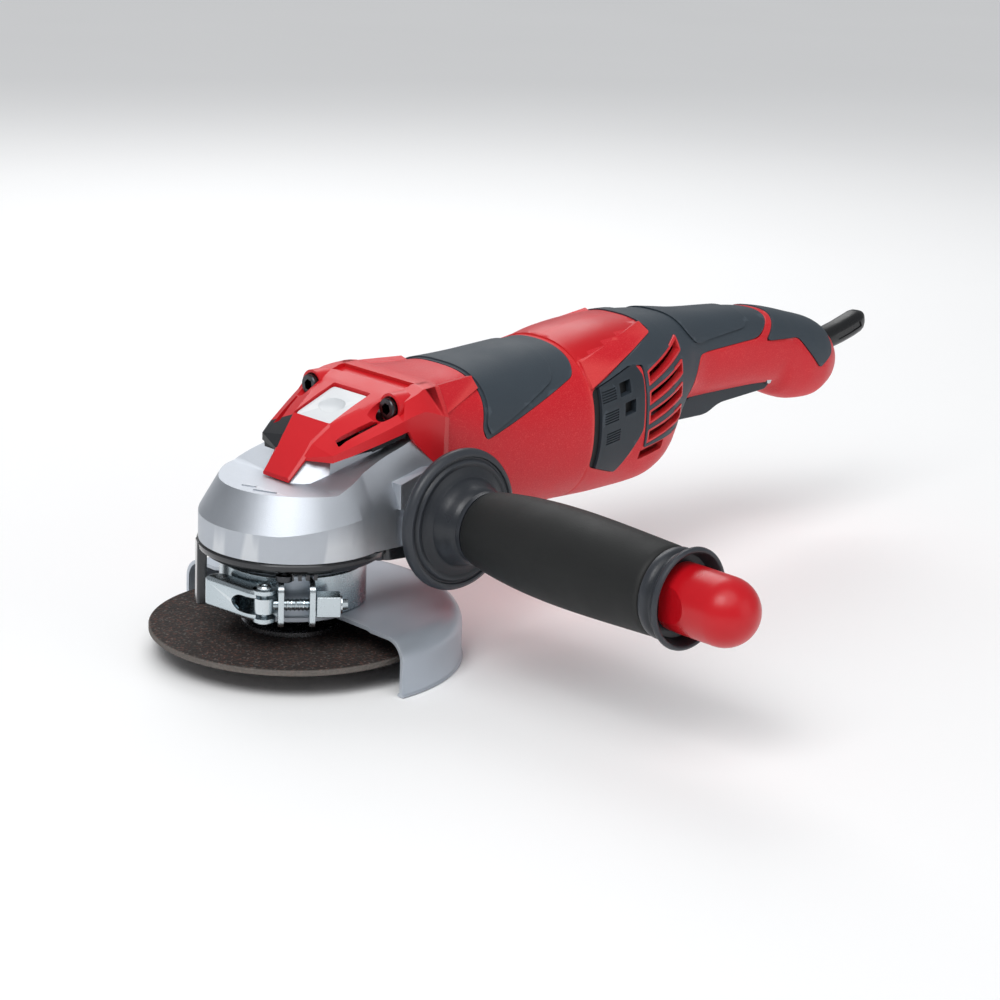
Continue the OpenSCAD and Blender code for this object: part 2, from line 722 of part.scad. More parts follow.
module stator_core() {
  color([0.4, 0.41, 0.43]) on_motor() difference() {
    rod_x(stator_x0, stator_x1, stator_r);
    rod_x(stator_x0 - 1, stator_x1 + 1, core_r + 0.6);
    // Windows for the two field coils, above and below the armature
    for (s = [0, 1]) mirror([0, 0, s]) prism_x(stator_x0 - 1, stator_x1 + 1)
      polygon([[-23, 3], [-21, 11], [-12.5, 13], [-15.5, 3]]);
    for (s = [0, 1]) mirror([0, 0, s]) prism_x(stator_x0 - 1, stator_x1 + 1)
      polygon([[23, 3], [21, 11], [12.5, 13], [15.5, 3]]);
  }
}

module field_coils() {
  long = stator_x1 - stator_x0;
  color([0.72, 0.36, 0.14]) on_motor() for (s = [0, 1]) mirror([0, 0, s]) {
    for (y = [-1, 1]) prism_x(stator_x0 - 5, stator_x1 + 5)
      polygon([[22.4 * y, 3.5], [20.7 * y, 10.6], [16.8 * y, 11.6], [16.9 * y, 3.5]]);
    for (x = [stator_x0 - 6.5, stator_x1 + 2]) prism_x(x, x + 4.5)
      polygon([[-22.4, 3.5], [-20.7, 10.6], [-12, 20], [12, 20], [20.7, 10.6], [22.4, 3.5], [17, 3.5],
        [15.5, 9], [9, 16.4], [-9, 16.4], [-15.5, 9], [-17, 3.5]]);
  }
}

module rear_bearing() {
  color([0.75, 0.75, 0.77]) translate([boot_x + 0.5, 0, motor_z]) rotate([0, 90, 0])
    ball_bearing(shaft_r + run, 11, boot_h - 1);
}

module bearing_boot() {
  color([0.09, 0.09, 0.09]) on_motor() difference() {
    rod_x(boot_x - 1, boot_x + boot_h + 1, boot_r);
    rod_x(boot_x - 2, boot_x + boot_h - 0.3, 11 + seat);
    rod_x(boot_x, boot_x + boot_h + 2, shaft_r + 1.5);
  }
}

module brush_holders() {
  color([0.78, 0.62, 0.3]) on_motor() both_sides() translate([brush_x, 0, 0]) difference() {
    union() {
      translate([-5, -30.4, -4.5]) cube([10, 16.6, 9]);
      translate([-7, -18, -7]) cube([14, 1.6, 14]);
    }
    translate([-3.4, -29.4, -3]) cube([6.8, 17, 6]);
  }
}

module brushes() {
  color([0.12, 0.12, 0.12]) on_motor() both_sides() translate([brush_x - 3.2, -24, -2.8]) cube([6.4, 11.7, 5.6]);
}

module brush_springs() {
  color([0.75, 0.76, 0.78]) on_motor() both_sides() translate([brush_x, -24.1, 0]) rotate([90, 0, 0])
    coil(2, 0.3, 0, 5.2, 4);
}

// Outer form of the motor housing, drawn in by t.
module housing_form(t) {
  w = body_w - 35;
  loft([for (s = [
    [neck_x, 33 + w, motor_z + 33.6, motor_z - 27, 4.4],
    [neck_x + 10, 33.2 + w, motor_z + 33.4, motor_z - 28.5, 3.4],
    [neck_x + 26, 34 + w, motor_z + 34, motor_z - 31, 2.7],
    [neck_x + 50, 34.8 + w, motor_z + 35.6, motor_z - 32.6, 2.3],
    [rear_x, 35 + w, motor_z + 37.4, motor_z - 32.8, 2.3]]) round_row(s, t, 36)]);
}

// Side outline of the soft saddle, grown by t.
module saddle_outline(t) {
  offset(delta = t) polygon([[neck_x + 22, motor_z + 8.6], [neck_x + 20, motor_z + 13], [neck_x + 23, motor_z + 24],
    [neck_x + 26, motor_z + 60], [rear_x - 2.4, motor_z + 60], [rear_x - 2.4, motor_z + 32],
    [rear_x - 6, motor_z + 26.6]]);
}

module motor_housing() {
  color([0.83, 0.13, 0.17]) difference() {
    housing_form(0);
    on_motor() {
      rod_x(neck_x - 1, neck_x + 3, 27);
      rod_x(neck_x + 2.9, rear_x + 1, cavity_r);
    }
    both_sides() for (s = [top_screw, low_screw]) translate([0, s[0], s[1]])
      rod_x(neck_x - 1, neck_x + 12, screw_r + seat);
    difference() {
      prism_y(-60, 60) saddle_outline(gap);
      housing_form(soft_t);
    }
  }
}

module grip_saddle() {
  color([0.25, 0.28, 0.31]) difference() {
    intersection() {
      housing_form(-0.9);
      prism_y(-60, 60) saddle_outline(0);
    }
    housing_form(soft_t - eps);
  }
}

// ---------- rear shells ----------

// Outer form of the hood and rear handle, drawn in by t.
function rear_rows() = let (h = hood_len, g = grip_len / 104, w = body_w - 35, v = grip_w - 19.3, m = motor_z) [
  [rear_x, 34.6 + w, m + 38.2, m - 33, 2.3],
  [rear_x + h * 0.14, 35 + w, m + 40.6, m - 33, 2.4],
  [rear_x + h * 0.36, 35 + w, m + 42.2, m - 32.4, 2.5],
  [rear_x + h * 0.49, 34.2 + w, m + 42.3, m - 31.5, 2.6],
  [rear_x + h * 0.62, 31.5 + w, m + 42, m - 27.4, 2.7],
  [rear_x + h * 0.7, 28.5 + v, m + 41.6, m - 18.6, 2.7],
  [rear_x + h * 0.79, 25 + v, m + 40.8, m - 8, 2.7],
  [rear_x + h * 0.88, 21.6 + v, m + 39.8, m - 1.5, 2.7],
  [grip_x, 19.5 + v, m + 38.4, m - 1.5, 2.7],
  [grip_x + 33 * g, 19 + v, m + 36, m - 1.5, 2.7],
  [grip_x + 53 * g, 19.2 + v, m + 33.2, m - 2.5, 2.6],
  [grip_x + 60 * g, 19.4 + v, m + 31.8, m - 8.5, 2.5],
  [grip_x + 72 * g, 19.3 + v, m + 28.6, m - 12.4, 2.4],
  [grip_x + 84 * g, 18 + v, m + 25.2, m - 13.2, 2.3],
  [grip_x + 94 * g, 14.6 + v, m + 20, m - 10.6, 2.2],
  [grip_x + 101 * g, 9.8 + v, m + 13.4, m - 6, 2.1],
  [tail_x, 5, m + 7.5, m - 1.5, 2]];

module rear_form(t) {
  loft([for (s = rear_rows()) round_row([s[0] - (s[0] == tail_x ? t : 0), s[1], s[2], s[3], s[4]],
    s[0] == tail_x ? min(t, 1.5) : t)]);
}

// Side outline of the soft part behind the hood, up to the red rib.
module rear_grip_outline(t) {
  offset(delta = t) polygon([[rear_x + 45, motor_z + 60], [rear_x + 47.5, motor_z + 38],
    [rear_x + 33, motor_z + 31], [rear_x + 33.5, motor_z - 9.5], [rear_x + hood_len * 0.74, motor_z - 4],
    [grip_x - 14, motor_z + 1.2], [grip_x - 8, motor_z + 22.8], [grip_x + 34, motor_z + 24.6],
    [grip_x + 46, motor_z + 34], [grip_x + 46, motor_z + 60]]);
}

module tail_grip_outline(t) {
  g = grip_len / 104;
  offset(delta = t) polygon([[grip_x + 50, motor_z + 60], [grip_x + 50, motor_z + 34],
    [grip_x + 39, motor_z + 22.6], [grip_x + 62 * g, motor_z + 21.4], [grip_x + 79 * g, motor_z + 4.6],
    [grip_x + 90 * g, motor_z + 10], [grip_x + 95 * g, motor_z + 60]]);
}

// Side outline of the cover over the brush gear.
module panel_outline(t) {
  offset(delta = t) polygon([[rear_x + 1.6, motor_z + 20], [rear_x + 25, motor_z + 28.5],
    [rear_x + 31, motor_z + 8], [rear_x + 30, motor_z - 10.5], [rear_x + 20, motor_z - 19.4],
    [rear_x + 1.6, motor_z - 14.5]]);
}

// Five slanting air slots on each flank.
module vents() {
  for (i = [0:4]) {
    long = i < 4 ? 25 : 15;
    rise = long * (0.4 - 0.05 * i);
    x0 = rear_x + 35.5 - (i == 4 ? 3.5 : 0);
    z0 = motor_z + 19.2 - i * 8.6;
    prism_y(-60, 60) polygon([[x0, z0], [x0 + long, z0 + rise], [x0 + long, z0 + rise + vent_h], [x0, z0 + vent_h]]);
  }
}

module paddle_opening() {
  translate([paddle_x0, -13, grip_low - 18]) cube([grip_x + 51.9 - paddle_x0, 26, 24]);
}

module at_shell_screws() {
  for (p = shell_screw_at) translate([p[0], 0, p[1]]) children();
}

module rear_shells() {
  difference() {
    rear_form(0);
    difference() {
      rear_form(wall);
      // Cross ribs that carry the rear bearing, and screw bosses
      prism_x(boot_x + 1, boot_x + 4) square(120, center = true);
      prism_x(boot_x + 1, boot_x + 4) translate([0, motor_z]) square(120, center = true);
      at_shell_screws() rod_y(-60, 60, 4);
    }
    on_motor() rod_x(rear_x, boot_x + 30, boot_r + seat);
    on_motor() rod_x(rear_x - 1, rear_x + 3, cavity_r);
    difference() {
      prism_y(-80, 80) rear_grip_outline(gap);
      rear_form(soft_t);
    }
    difference() {
      prism_y(-80, 80) tail_grip_outline(gap);
      rear_form(soft_t);
    }
    difference() {
      prism_y(-80, 80) panel_outline(gap);
      rear_form(wall + 1);
    }
    vents();
    paddle_opening();
    for (p = [0:3]) translate([shell_screw_at[p][0], 0, shell_screw_at[p][1]]) {
      rod_y(-10, 60, 1.6);
      rod_y(shell_screw_w[p] - 2, 60, 3.4);
    }
    translate([pivot[0], 0, pivot[1]]) rod_y(-14.5, 14.5, 1.5 + seat);
    sleeve_path() rod_z(-17, 14, sleeve_r + 0.3);
    sleeve_path() rod_z(-17, -9.6, sleeve_r + 2.1);
  }
}

module rear_shell_right() {
  color([0.82, 0.12, 0.16]) intersection() {
    rear_shells();
    translate([0, -100, -50]) cube([600, 100 - 0.03, 300]);
  }
}

module rear_shell_left() {
  color([0.82, 0.12, 0.16]) intersection() {
    rear_shells();
    translate([0, 0.03, -50]) cube([600, 100, 300]);
  }
}

module shell_screws() {
  color([0.12, 0.12, 0.13]) for (p = [0:3]) translate([shell_screw_at[p][0], 0, shell_screw_at[p][1]]) difference() {
    union() {
      rod_y(-9, shell_screw_w[p] - 1, 1.6 - seat);
      rod_y(shell_screw_w[p] - 2 + seat, shell_screw_w[p], 3.1);
    }
    translate([-2, shell_screw_w[p] - 0.8, -0.4]) cube([4, 2, 0.8]);
    translate([-0.4, shell_screw_w[p] - 0.8, -2]) cube([0.8, 2, 4]);
  }
}

module rear_grip() {
  color([0.25, 0.28, 0.31]) difference() {
    intersection() {
      rear_form(-0.5);
      prism_y(-80, 80) rear_grip_outline(0);
    }
    rear_form(soft_t - eps);
    vents();
    paddle_opening();
    for (p = [1, 2]) translate([shell_screw_at[p][0], 0, shell_screw_at[p][1]]) rod_y(0, 60, 3.6);
  }
}

module tail_grip() {
  color([0.25, 0.28, 0.31]) difference() {
    intersection() {
      rear_form(-0.5);
      prism_y(-80, 80) tail_grip_outline(0);
    }
    rear_form(soft_t - eps);
    sleeve_path() rod_z(-30, 14, sleeve_r + 0.9);
  }
}

module side_panel() {
  color([0.24, 0.27, 0.3]) difference() {
    intersection() {
      rear_form(-0.6);
      prism_y(-80, -20) panel_outline(0);
    }
    rear_form(wall - 0.2);
    // Two air windows
    for (p = [[16.6, 15.4], [19.2, 6.8]]) prism_y(-80, -20) translate([rear_x + p[0], motor_z + p[1]])
      polygon([[0, 0], [6.6, 1.2], [6.6, 7], [0, 5.8]]);
  }
}

module side_panel_right() {
  side_panel();
}

module side_panel_left() {
  mirror([0, 1, 0]) side_panel();
}

// ---------- paddle and switch ----------

module paddle() {
  w = 12.2;
  x = grip_x;
  color([0.22, 0.25, 0.28]) difference() {
    prism_y(-w, w) polygon([[x - 15.4, grip_low - 7.4], [x + 8, grip_low - 7.4], [x + 16, grip_low - 3.4],
      [x + 46, grip_low - 1.4], [x + 51, grip_low + 3], [x + 49.6, grip_low + 5.4],
      [x + 46, paddle_top], [x + 8, paddle_top], [x - 6, grip_low + 1.6], [x - 14.6, grip_low - 3.6]]);
    prism_y(-w + 2.2, w - 2.2) polygon([[x - 4, grip_low + 1], [x - 8, grip_low - 5.2],
      [x + 7, grip_low - 5.2], [x + 15, grip_low - 1.2], [x + 42, grip_low + 0.6], [x + 42, paddle_top - 2],
      [x + 9, paddle_top - 2]]);
    translate([pivot[0], 0, pivot[1]]) rod_y(-20, 20, 1.5 + run);
  }
}

module paddle_pin() {
  color([0.66, 0.67, 0.7]) translate([pivot[0], 0, pivot[1]]) rod_y(-14.4, 14.4, 1.5);
}

module paddle_spring() {
  color([0.75, 0.76, 0.78]) translate([grip_x + 31, 0, 0]) coil(3.2, 0.4, paddle_top + 0.1, switch_z - 0.1, 3);
}

module switch_body() {
  color([0.08, 0.08, 0.09]) difference() {
    translate([grip_x + 4, -8.5, switch_z]) cube([36, 17, 12.8]);
    translate([plunger_x, 0, 0]) rod_z(switch_z - 1, switch_z + 10.5, 2 + run);
  }
}

module switch_plunger() {
  color([0.75, 0.1, 0.1]) translate([plunger_x, 0, 0]) rod_z(paddle_top + 0.3, switch_z + 6, 2);
}

// ---------- cord sleeve ----------

// Puts +Z along the sleeve where it leaves the tail.
module sleeve_path() {
  translate([sleeve_x, 0, sleeve_z]) rotate([0, sleeve_tilt, 0]) children();
}

module cord_sleeve() {
  color([0.08, 0.08, 0.09]) sleeve_path() difference() {
    union() {
      rod_z(-15, sleeve_len - 1.5, sleeve_r);
      rod_z(-15, -10, sleeve_r + 1.8);
      translate([0, 0, sleeve_len - 1.6]) cylinder(h = 1.6, r1 = sleeve_r, r2 = sleeve_r - 0.9);
    }
    rod_z(-16, sleeve_len + 1, sleeve_bore);
  }
}

module cord_clamp() {
  x = tail_x - 35;
  color([0.12, 0.12, 0.13]) difference() {
    translate([x, -11, motor_z + 2.5]) cube([8, 22, 5]);
    for (y = [-8, 8]) translate([x + 4, y, 0]) rod_z(motor_z, motor_z + 10, 1.7);
    translate([0, 0, motor_z + 10]) rod_x(x - 1, x + 9, 4.2);
  }
}

// ---------- side handle, drawn along +Z and laid on its axis by on_side ----------

module handle_stud() {
  color([0.6, 0.62, 0.65]) on_side() {
    rod_z(boss_y - socket_len + 1.5, boss_y + eps, stud_r);
    translate([0, 0, boss_y]) cylinder(h = side_y0 - boss_y, r = 8.2, $fn = 6);
    rod_z(side_y0 - eps, side_y0 + 20, stud_r + 1);
  }
}

module handle_core() {
  z0 = side_y0;
  e = side_y2;
  color([0.23, 0.24, 0.26]) on_side() difference() {
    rotate_extrude() polygon([[0, z0], [flange_r - 3, z0], [flange_r - 0.8, z0 + 0.9], [flange_r, z0 + 3],
      [flange_r - 0.6, z0 + 4.6], [flange_r - 2.4, z0 + 5.8], [flange_r - 3, z0 + 5.2],
      [flange_r - 4.2, z0 + 6.4], [flange_r - 6, z0 + 6.2], [side_grip_r - 0.6, z0 + side_rim + 1.4],
      [side_grip_r - 2.4, z0 + side_rim + 4], [side_grip_r - 3, side_y1 - 5], [side_grip_r - 4, side_y1],
      [side_core_r, side_y1], [side_core_r, e], [17, e], [17.7, e + 1.4], [17.6, e + 3.4], [16.6, e + 5.4],
      [17.2, e + 7], [19.4, e + 9], [19.6, e + collar_len - 1], [19, e + collar_len],
      [17.6, e + collar_len], [15.6, e + 5], [0, e + 5]]);
    rod_z(z0 - 1, z0 + 20 + eps, stud_r + 1 + seat);
    rod_z(e - key_len - 6, e + 6, 6.2);
  }
}

module handle_grip() {
  a = side_y1;
  e = side_y2;
  r = side_grip_r;
  color([0.17, 0.17, 0.17]) on_side() difference() {
    rotate_extrude() polygon(concat([[side_core_r + seat, a + gap], [r - 4.4, a + gap], [r - 3.6, a + 2]],
      [for (i = [0:10]) let (u = i / 10) [r - 3 + 2 * u + (3 - u) * sin(180 * pow(u, 0.85)),
        a + 4 + u * (e - a - 7)]],
      [[r - 1.4, e - gap], [side_core_r + seat, e - gap]]));
    rod_z(a, e, side_core_r + seat);
  }
}

module key_cap() {
  e = side_y2 + 5.4;
  color([0.85, 0.1, 0.14]) on_side() difference() {
    rotate_extrude() polygon(concat([[0, e], [key_r, e], [key_r, e + 22]],
      arc(0, e + 22, key_r, 0, 90, 8)));
    rod_z(e - 1, e + 4, 4 + seat);
    // Flats for the fingers
    for (s = [-1, 1]) translate([s * (key_r + 9.2), 0, e + 14]) cube([20, 40, 26], center = true);
  }
}

module key_fork() {
  e = side_y2 + 5.4;
  color([0.62, 0.63, 0.66]) on_side() {
    rod_z(e - key_len, e + 4, 4);
    for (s = [-1, 1]) translate([s * 3.9, 0, 0]) rod_z(e - key_len - 3, e - key_len + 8, 1.6);
  }
}

disc();
guard();
clamp_band();
clamp_screw();
clamp_nut();
clamp_lever();
lever_rivet();
inner_flange();
flange_nut();
spindle();
spindle_bearing();
spindle_bush();
crown_gear();
bearing_plate();
plate_screws();
gear_head();
gear_cover();
neck_screws();
lock_button();
lock_pin();
lock_spring();
pinion();
pinion_nut();
front_bearing();
armature_shaft();
fan();
air_baffle();
armature_core();
armature_windings();
commutator();
stator_core();
field_coils();
rear_bearing();
bearing_boot();
brush_holders();
brushes();
brush_springs();
motor_housing();
grip_saddle();
rear_shell_right();
rear_shell_left();
shell_screws();
side_panel_right();
side_panel_left();
rear_grip();
tail_grip();
paddle();
paddle_pin();
paddle_spring();
switch_body();
switch_plunger();
cord_sleeve();
cord_clamp();
handle_stud();
handle_core();
handle_grip();
key_cap();
key_fork();
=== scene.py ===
"""Angle grinder with a rear paddle handle: finishing of every visible piece, its materials and the stage."""
from math import atan, cos, hypot, pi, radians, sin

import bmesh
import bpy
from mathutils import Matrix, Vector


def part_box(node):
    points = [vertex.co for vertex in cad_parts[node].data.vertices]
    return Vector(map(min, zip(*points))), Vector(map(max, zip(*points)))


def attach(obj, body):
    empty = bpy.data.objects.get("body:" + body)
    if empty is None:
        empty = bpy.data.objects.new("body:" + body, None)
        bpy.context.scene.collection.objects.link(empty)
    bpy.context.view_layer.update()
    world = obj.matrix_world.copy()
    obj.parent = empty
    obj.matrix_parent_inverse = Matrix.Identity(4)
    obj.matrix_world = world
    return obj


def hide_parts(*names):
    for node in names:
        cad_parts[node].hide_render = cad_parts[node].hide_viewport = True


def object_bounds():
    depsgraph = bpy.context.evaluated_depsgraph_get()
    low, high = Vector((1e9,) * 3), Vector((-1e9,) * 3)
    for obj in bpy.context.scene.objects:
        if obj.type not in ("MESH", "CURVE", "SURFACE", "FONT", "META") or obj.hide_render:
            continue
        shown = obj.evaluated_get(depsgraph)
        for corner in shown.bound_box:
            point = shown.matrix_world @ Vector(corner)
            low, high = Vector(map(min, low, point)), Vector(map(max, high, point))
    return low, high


bl_info = {
    "name": "Angle Grinder Finish",
    "version": (1, 0, 0),
    "blender": (4, 5, 0),
    "location": "View3D > Sidebar > Grinder",
    "description": "Builds the visible pieces and finishes of an angle grinder over its packed frame",
    "category": "Object",
}

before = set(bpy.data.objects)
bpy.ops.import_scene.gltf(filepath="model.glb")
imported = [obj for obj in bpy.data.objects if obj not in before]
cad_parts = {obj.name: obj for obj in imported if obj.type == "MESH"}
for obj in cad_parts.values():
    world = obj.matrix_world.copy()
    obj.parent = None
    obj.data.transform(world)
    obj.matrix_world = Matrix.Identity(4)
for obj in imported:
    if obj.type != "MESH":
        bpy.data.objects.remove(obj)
CAD_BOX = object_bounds()
MM = 0.001
AXES = {"x": 0, "y": 1, "z": 2}


def low(node, axis):
    """Lowest coordinate of a CAD node along an axis, in millimetres."""
    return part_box(node)[0][AXES[axis]] / MM


def high(node, axis):
    """Highest coordinate of a CAD node along an axis, in millimetres."""
    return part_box(node)[1][AXES[axis]] / MM


def middle(node, axis):
    return (low(node, axis) + high(node, axis)) / 2


# Places read from the frame, in millimetres
HEAD_Z = low("gear_head", "z")
HEAD_R = -low("gear_head", "x")
NECK_X = low("motor_housing", "x")
REAR_X = low("rear_shell_right", "x")
TAIL_X = high("rear_shell_right", "x")
GRIP_LEN = 104
GRIP_X = TAIL_X - GRIP_LEN
MOTOR_Z = middle("front_bearing", "z")
GRIP_LOW = MOTOR_Z - 1.5
GUARD_LOW = low("guard", "z")
PLATE_Z = low("clamp_band", "z") - 0.3
NECK_R = (high("clamp_band", "x") - low("clamp_band", "x")) / 2
SIDE_X = middle("handle_stud", "x")
SIDE_Z = middle("handle_stud", "z")
RING_Z = low("plate_screws", "z") + 2.6
FLAT_Z = HEAD_Z + 25


def linear(code):
    """A colour given as sRGB hex, as the linear values the shaders take."""
    parts = [int(code[i:i + 2], 16) / 255 for i in (1, 3, 5)]
    return tuple(p / 12.92 if p <= 0.04045 else ((p + 0.055) / 1.055) ** 2.4 for p in parts)


# ---------- shapes ----------

def solid(name, points, faces):
    """A mesh object from points in millimetres, with its normals turned outwards."""
    mesh = bpy.data.meshes.new(name)
    mesh.from_pydata([Vector(p) * MM for p in points], [], faces)
    tidy = bmesh.new()
    tidy.from_mesh(mesh)
    bmesh.ops.remove_doubles(tidy, verts=tidy.verts, dist=1e-6)
    bmesh.ops.recalc_face_normals(tidy, faces=tidy.faces)
    tidy.to_mesh(mesh)
    tidy.free()
    piece = bpy.data.objects.new(name, mesh)
    bpy.context.scene.collection.objects.link(piece)
    return piece


def stack(name, rings):
    """Joins closed rings with the same number of points into one closed solid."""
    count = len(rings[0])
    faces = [(j * count + i, j * count + (i + 1) % count, (j + 1) * count + (i + 1) % count,
        (j + 1) * count + i)
             for j in range(len(rings) - 1) for i in range(count)]
    last = (len(rings) - 1) * count
    faces += [tuple(range(count - 1, -1, -1)), tuple(range(last, last + count))]
    return solid(name, [p for ring in rings for p in ring], faces)


def lathe(name, profile, steps=96, along="z", at=(0, 0, 0)):
    """Turns a closed profile of (radius, height) round an axis through a point."""
    turn = {"z": lambda r, a, h: (r * cos(a), r * sin(a), h),
            "x": lambda r, a, h: (h, r * cos(a), r * sin(a)),
            "y": lambda r, a, h: (r * sin(a), h, r * cos(a)),
            "-y": lambda r, a, h: (r * cos(a), -h, r * sin(a))}[along]
    points = []
    for k in range(steps):
        a = 2 * pi * k / steps
        points += [tuple(c + o for c, o in zip(turn(r, a, h), at)) for r, h in profile]
    n = len(profile)
    faces = []
    for k in range(steps):
        for i in range(n):
            j = (i + 1) % n
            if profile[i][0] < 1e-6 and profile[j][0] < 1e-6:
                continue
            m = (k + 1) % steps
            faces.append((k * n + i, k * n + j, m * n + j, m * n + i))
    return solid(name, points, faces)


def rod(name, start, end, radius, along="z", at=(0, 0, 0), steps=48):
    return lathe(name, [(0, start), (radius, start), (radius, end), (0, end)], steps, along, at)


def prism(name, outline, along, start, end):
    """Pushes a flat outline along an axis. The outline is in the two other axes, in X, Y, Z order."""
    put = {"x": lambda u, v, h: (h, u, v), "y": lambda u, v, h: (u, h, v), "z": lambda u, v, h: (u, v,
        h)}[along]
    return stack(name, [[put(u, v, h) for u, v in outline] for h in (start, end)])


def block(name, corner, size):
    (x, y, z), (a, b, c) = corner, size
    return prism(name, [(x, y), (x + a, y), (x + a, y + b), (x, y + b)], "z", z, z + c)


def settle(piece):
    """Applies a piece's modifiers and puts its place in its mesh."""
    bpy.context.view_layer.update()
    graph = bpy.context.evaluated_depsgraph_get()
    mesh = bpy.data.meshes.new_from_object(piece.evaluated_get(graph))
    piece.modifiers.clear()
    mesh.transform(piece.matrix_world)
    piece.matrix_world = Matrix.Identity(4)
    piece.data = mesh
    return piece


def carve(piece, how, *tools):
    """Cuts, keeps or joins with other solids, which are used up."""
    for tool in tools:
        step = piece.modifiers.new("carve", "BOOLEAN")
        step.operation = how
        step.solver = "EXACT"
        step.object = tool
    settle(piece)
    for tool in tools:
        bpy.data.objects.remove(tool)
    return piece


def cut(piece, *tools):
    return carve(piece, "DIFFERENCE", *tools)


def keep(piece, *tools):
    return carve(piece, "INTERSECT", *tools)


def join(piece, *tools):
    return carve(piece, "UNION", *tools)


def twin(piece, name="twin"):
    """A copy of a piece, to use as a tool."""
    other = piece.copy()
    other.data = piece.data.copy()
    other.name = name
    bpy.context.scene.collection.objects.link(other)
    return other


def mirrored(piece, name="mirrored"):
    """A copy of a piece on the other side of the tool's middle plane."""
    other = twin(piece, name)
    other.data.transform(Matrix.Scale(-1, 4, Vector((0, 1, 0))))
    other.data.flip_normals()
    return other


def together(piece, *others):
    """Puts separate solids in one object."""
    mix = bmesh.new()
    for part in (piece,) + others:
        mix.from_mesh(part.data)
    mix.to_mesh(piece.data)
    mix.free()
    for part in others:
        bpy.data.objects.remove(part)
    return piece


def soften(piece, width, segments=2, angle=32):
    """Rounds the edges sharper than an angle and shades the rest smooth."""
    weld = bmesh.new()
    weld.from_mesh(piece.data)
    bmesh.ops.remove_doubles(weld, verts=weld.verts, dist=2e-5)
    bmesh.ops.dissolve_degenerate(weld, edges=weld.edges, dist=1e-5)
    weld.to_mesh(piece.data)
    weld.free()
    if width > 0:
        step = piece.modifiers.new("round", "BEVEL")
        step.width = width * MM
        step.segments = segments
        step.limit_method = "ANGLE"
        step.angle_limit = radians(angle)
        step.use_clamp_overlap = True
        settle(piece)
    piece.data.shade_smooth()
    piece.data.set_sharp_from_angle(angle=radians(angle + 6))
    if width > 0:
        even = piece.modifiers.new("even", "WEIGHTED_NORMAL")
        even.keep_sharp = True
        settle(piece)
    return piece


def finish(piece, material, body, slot, *nodes):
    """Gives a piece its material, its body and the CAD nodes that it stands for."""
    if material is not None:
        piece.data.materials.clear()
        piece.data.materials.append(material)
    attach(piece, body)
    if nodes:
        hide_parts(*nodes)
    return piece


def between(stations, x):
    """A row of sizes at x, from rows that start with their own x, on a smooth curve that never overshoots."""
    if x <= stations[0][0]:
        return [x] + list(stations[0][1:])
    if x >= stations[-1][0]:
        return [x] + list(stations[-1][1:])
    i = max(k for k in range(len(stations) - 1) if stations[k][0] <= x)
    a, b = stations[i], stations[i + 1]
    h = b[0] - a[0]
    t = (x - a[0]) / h

    def lean(k, c):
        if k <= 0 or k >= len(stations) - 1:
            return (stations[min(k + 1, len(stations) - 1)][c] - stations[max(k - 1, 0)][c]) / (
                stations[min(k + 1, len(stations) - 1)][0] - stations[max(k - 1, 0)][0])
        left = (stations[k][c] - stations[k - 1][c]) / (stations[k][0] - stations[k - 1][0])
        right = (stations[k + 1][c] - stations[k][c]) / (stations[k + 1][0] - stations[k][0])
        return 0 if left * right <= 0 else 2 * left * right / (left + right)

    row = [x]
    for c in range(1, len(a)):
        row.append((2 * t ** 3 - 3 * t ** 2 + 1) * a[c] + (t ** 3 - 2 * t ** 2 + t) * h * lean(i, c)
                   + (3 * t ** 2 - 2 * t ** 3) * b[c] + (t ** 3 - t ** 2) * h * lean(i + 1, c))
    return row


def oval(row, inset, count=72):
    """A rounded section across the tool. row is [x, half width, top, bottom, squareness]."""
    x, half, top, bottom, square = row
    mid, rise, wide = (top + bottom) / 2, (top - bottom) / 2 - inset, half - inset
    ring = []
    for i in range(count):
        a = -2 * pi * i / count
        c, s = cos(a), sin(a)
        ring.append((x, wide * (1 if c > 0 else -1) * abs(c) ** (2 / square),
                     mid + rise * (1 if s > 0 else -1) * abs(s) ** (2 / square)))
    return ring


def hull_form(name, stations, inset=0.0, step=2.5, count=72, end=None):
    """A smooth moulded body through sections, drawn in by inset."""
    first, last = stations[0][0], stations[-1][0]
    spans = max(2, int((last - first) / step))
    xs = [first + (last - first) * k / spans for k in range(spans + 1)]
    rings = [oval(between(stations, x), inset if x < last else min(inset, end or inset), count) for x in xs]
    if end is not None:
        rings[-1] = [(x - inset, y, z) for x, y, z in rings[-1]]
    return stack(name, rings)


# ---------- materials ----------

def add(tree, kind, links=None, values=None, **settings):
    """Adds a node with its settings, its values and the links that come into it."""
    node = tree.nodes.new(kind)
    for key, value in settings.items():
        setattr(node, key, value)
    for key, value in (values or {}).items():
        node.inputs[key].default_value = value
    for key, source in (links or {}).items():
        tree.links.new(source, node.inputs[key])
    return node


def new_material(name, **shader_values):
    """A material with a Principled shader, and the coordinates its patterns read."""
    material = bpy.data.materials.new(name)
    material.use_nodes = True
    tree = material.node_tree
    tree.nodes.clear()
    shader = add(tree, "ShaderNodeBsdfPrincipled", values=shader_values)
    add(tree, "ShaderNodeOutputMaterial", {"Surface": shader.outputs[0]})
    place = add(tree, "ShaderNodeTexCoord").outputs["Object"]
    return material, tree, shader, place


def pair(colour, dark=0.86, light=1.1):
    """The darkest and lightest tone of a surface around its colour."""
    return tuple(v * dark for v in colour[:3]), tuple(min(1.0, v * light) for v in colour[:3])


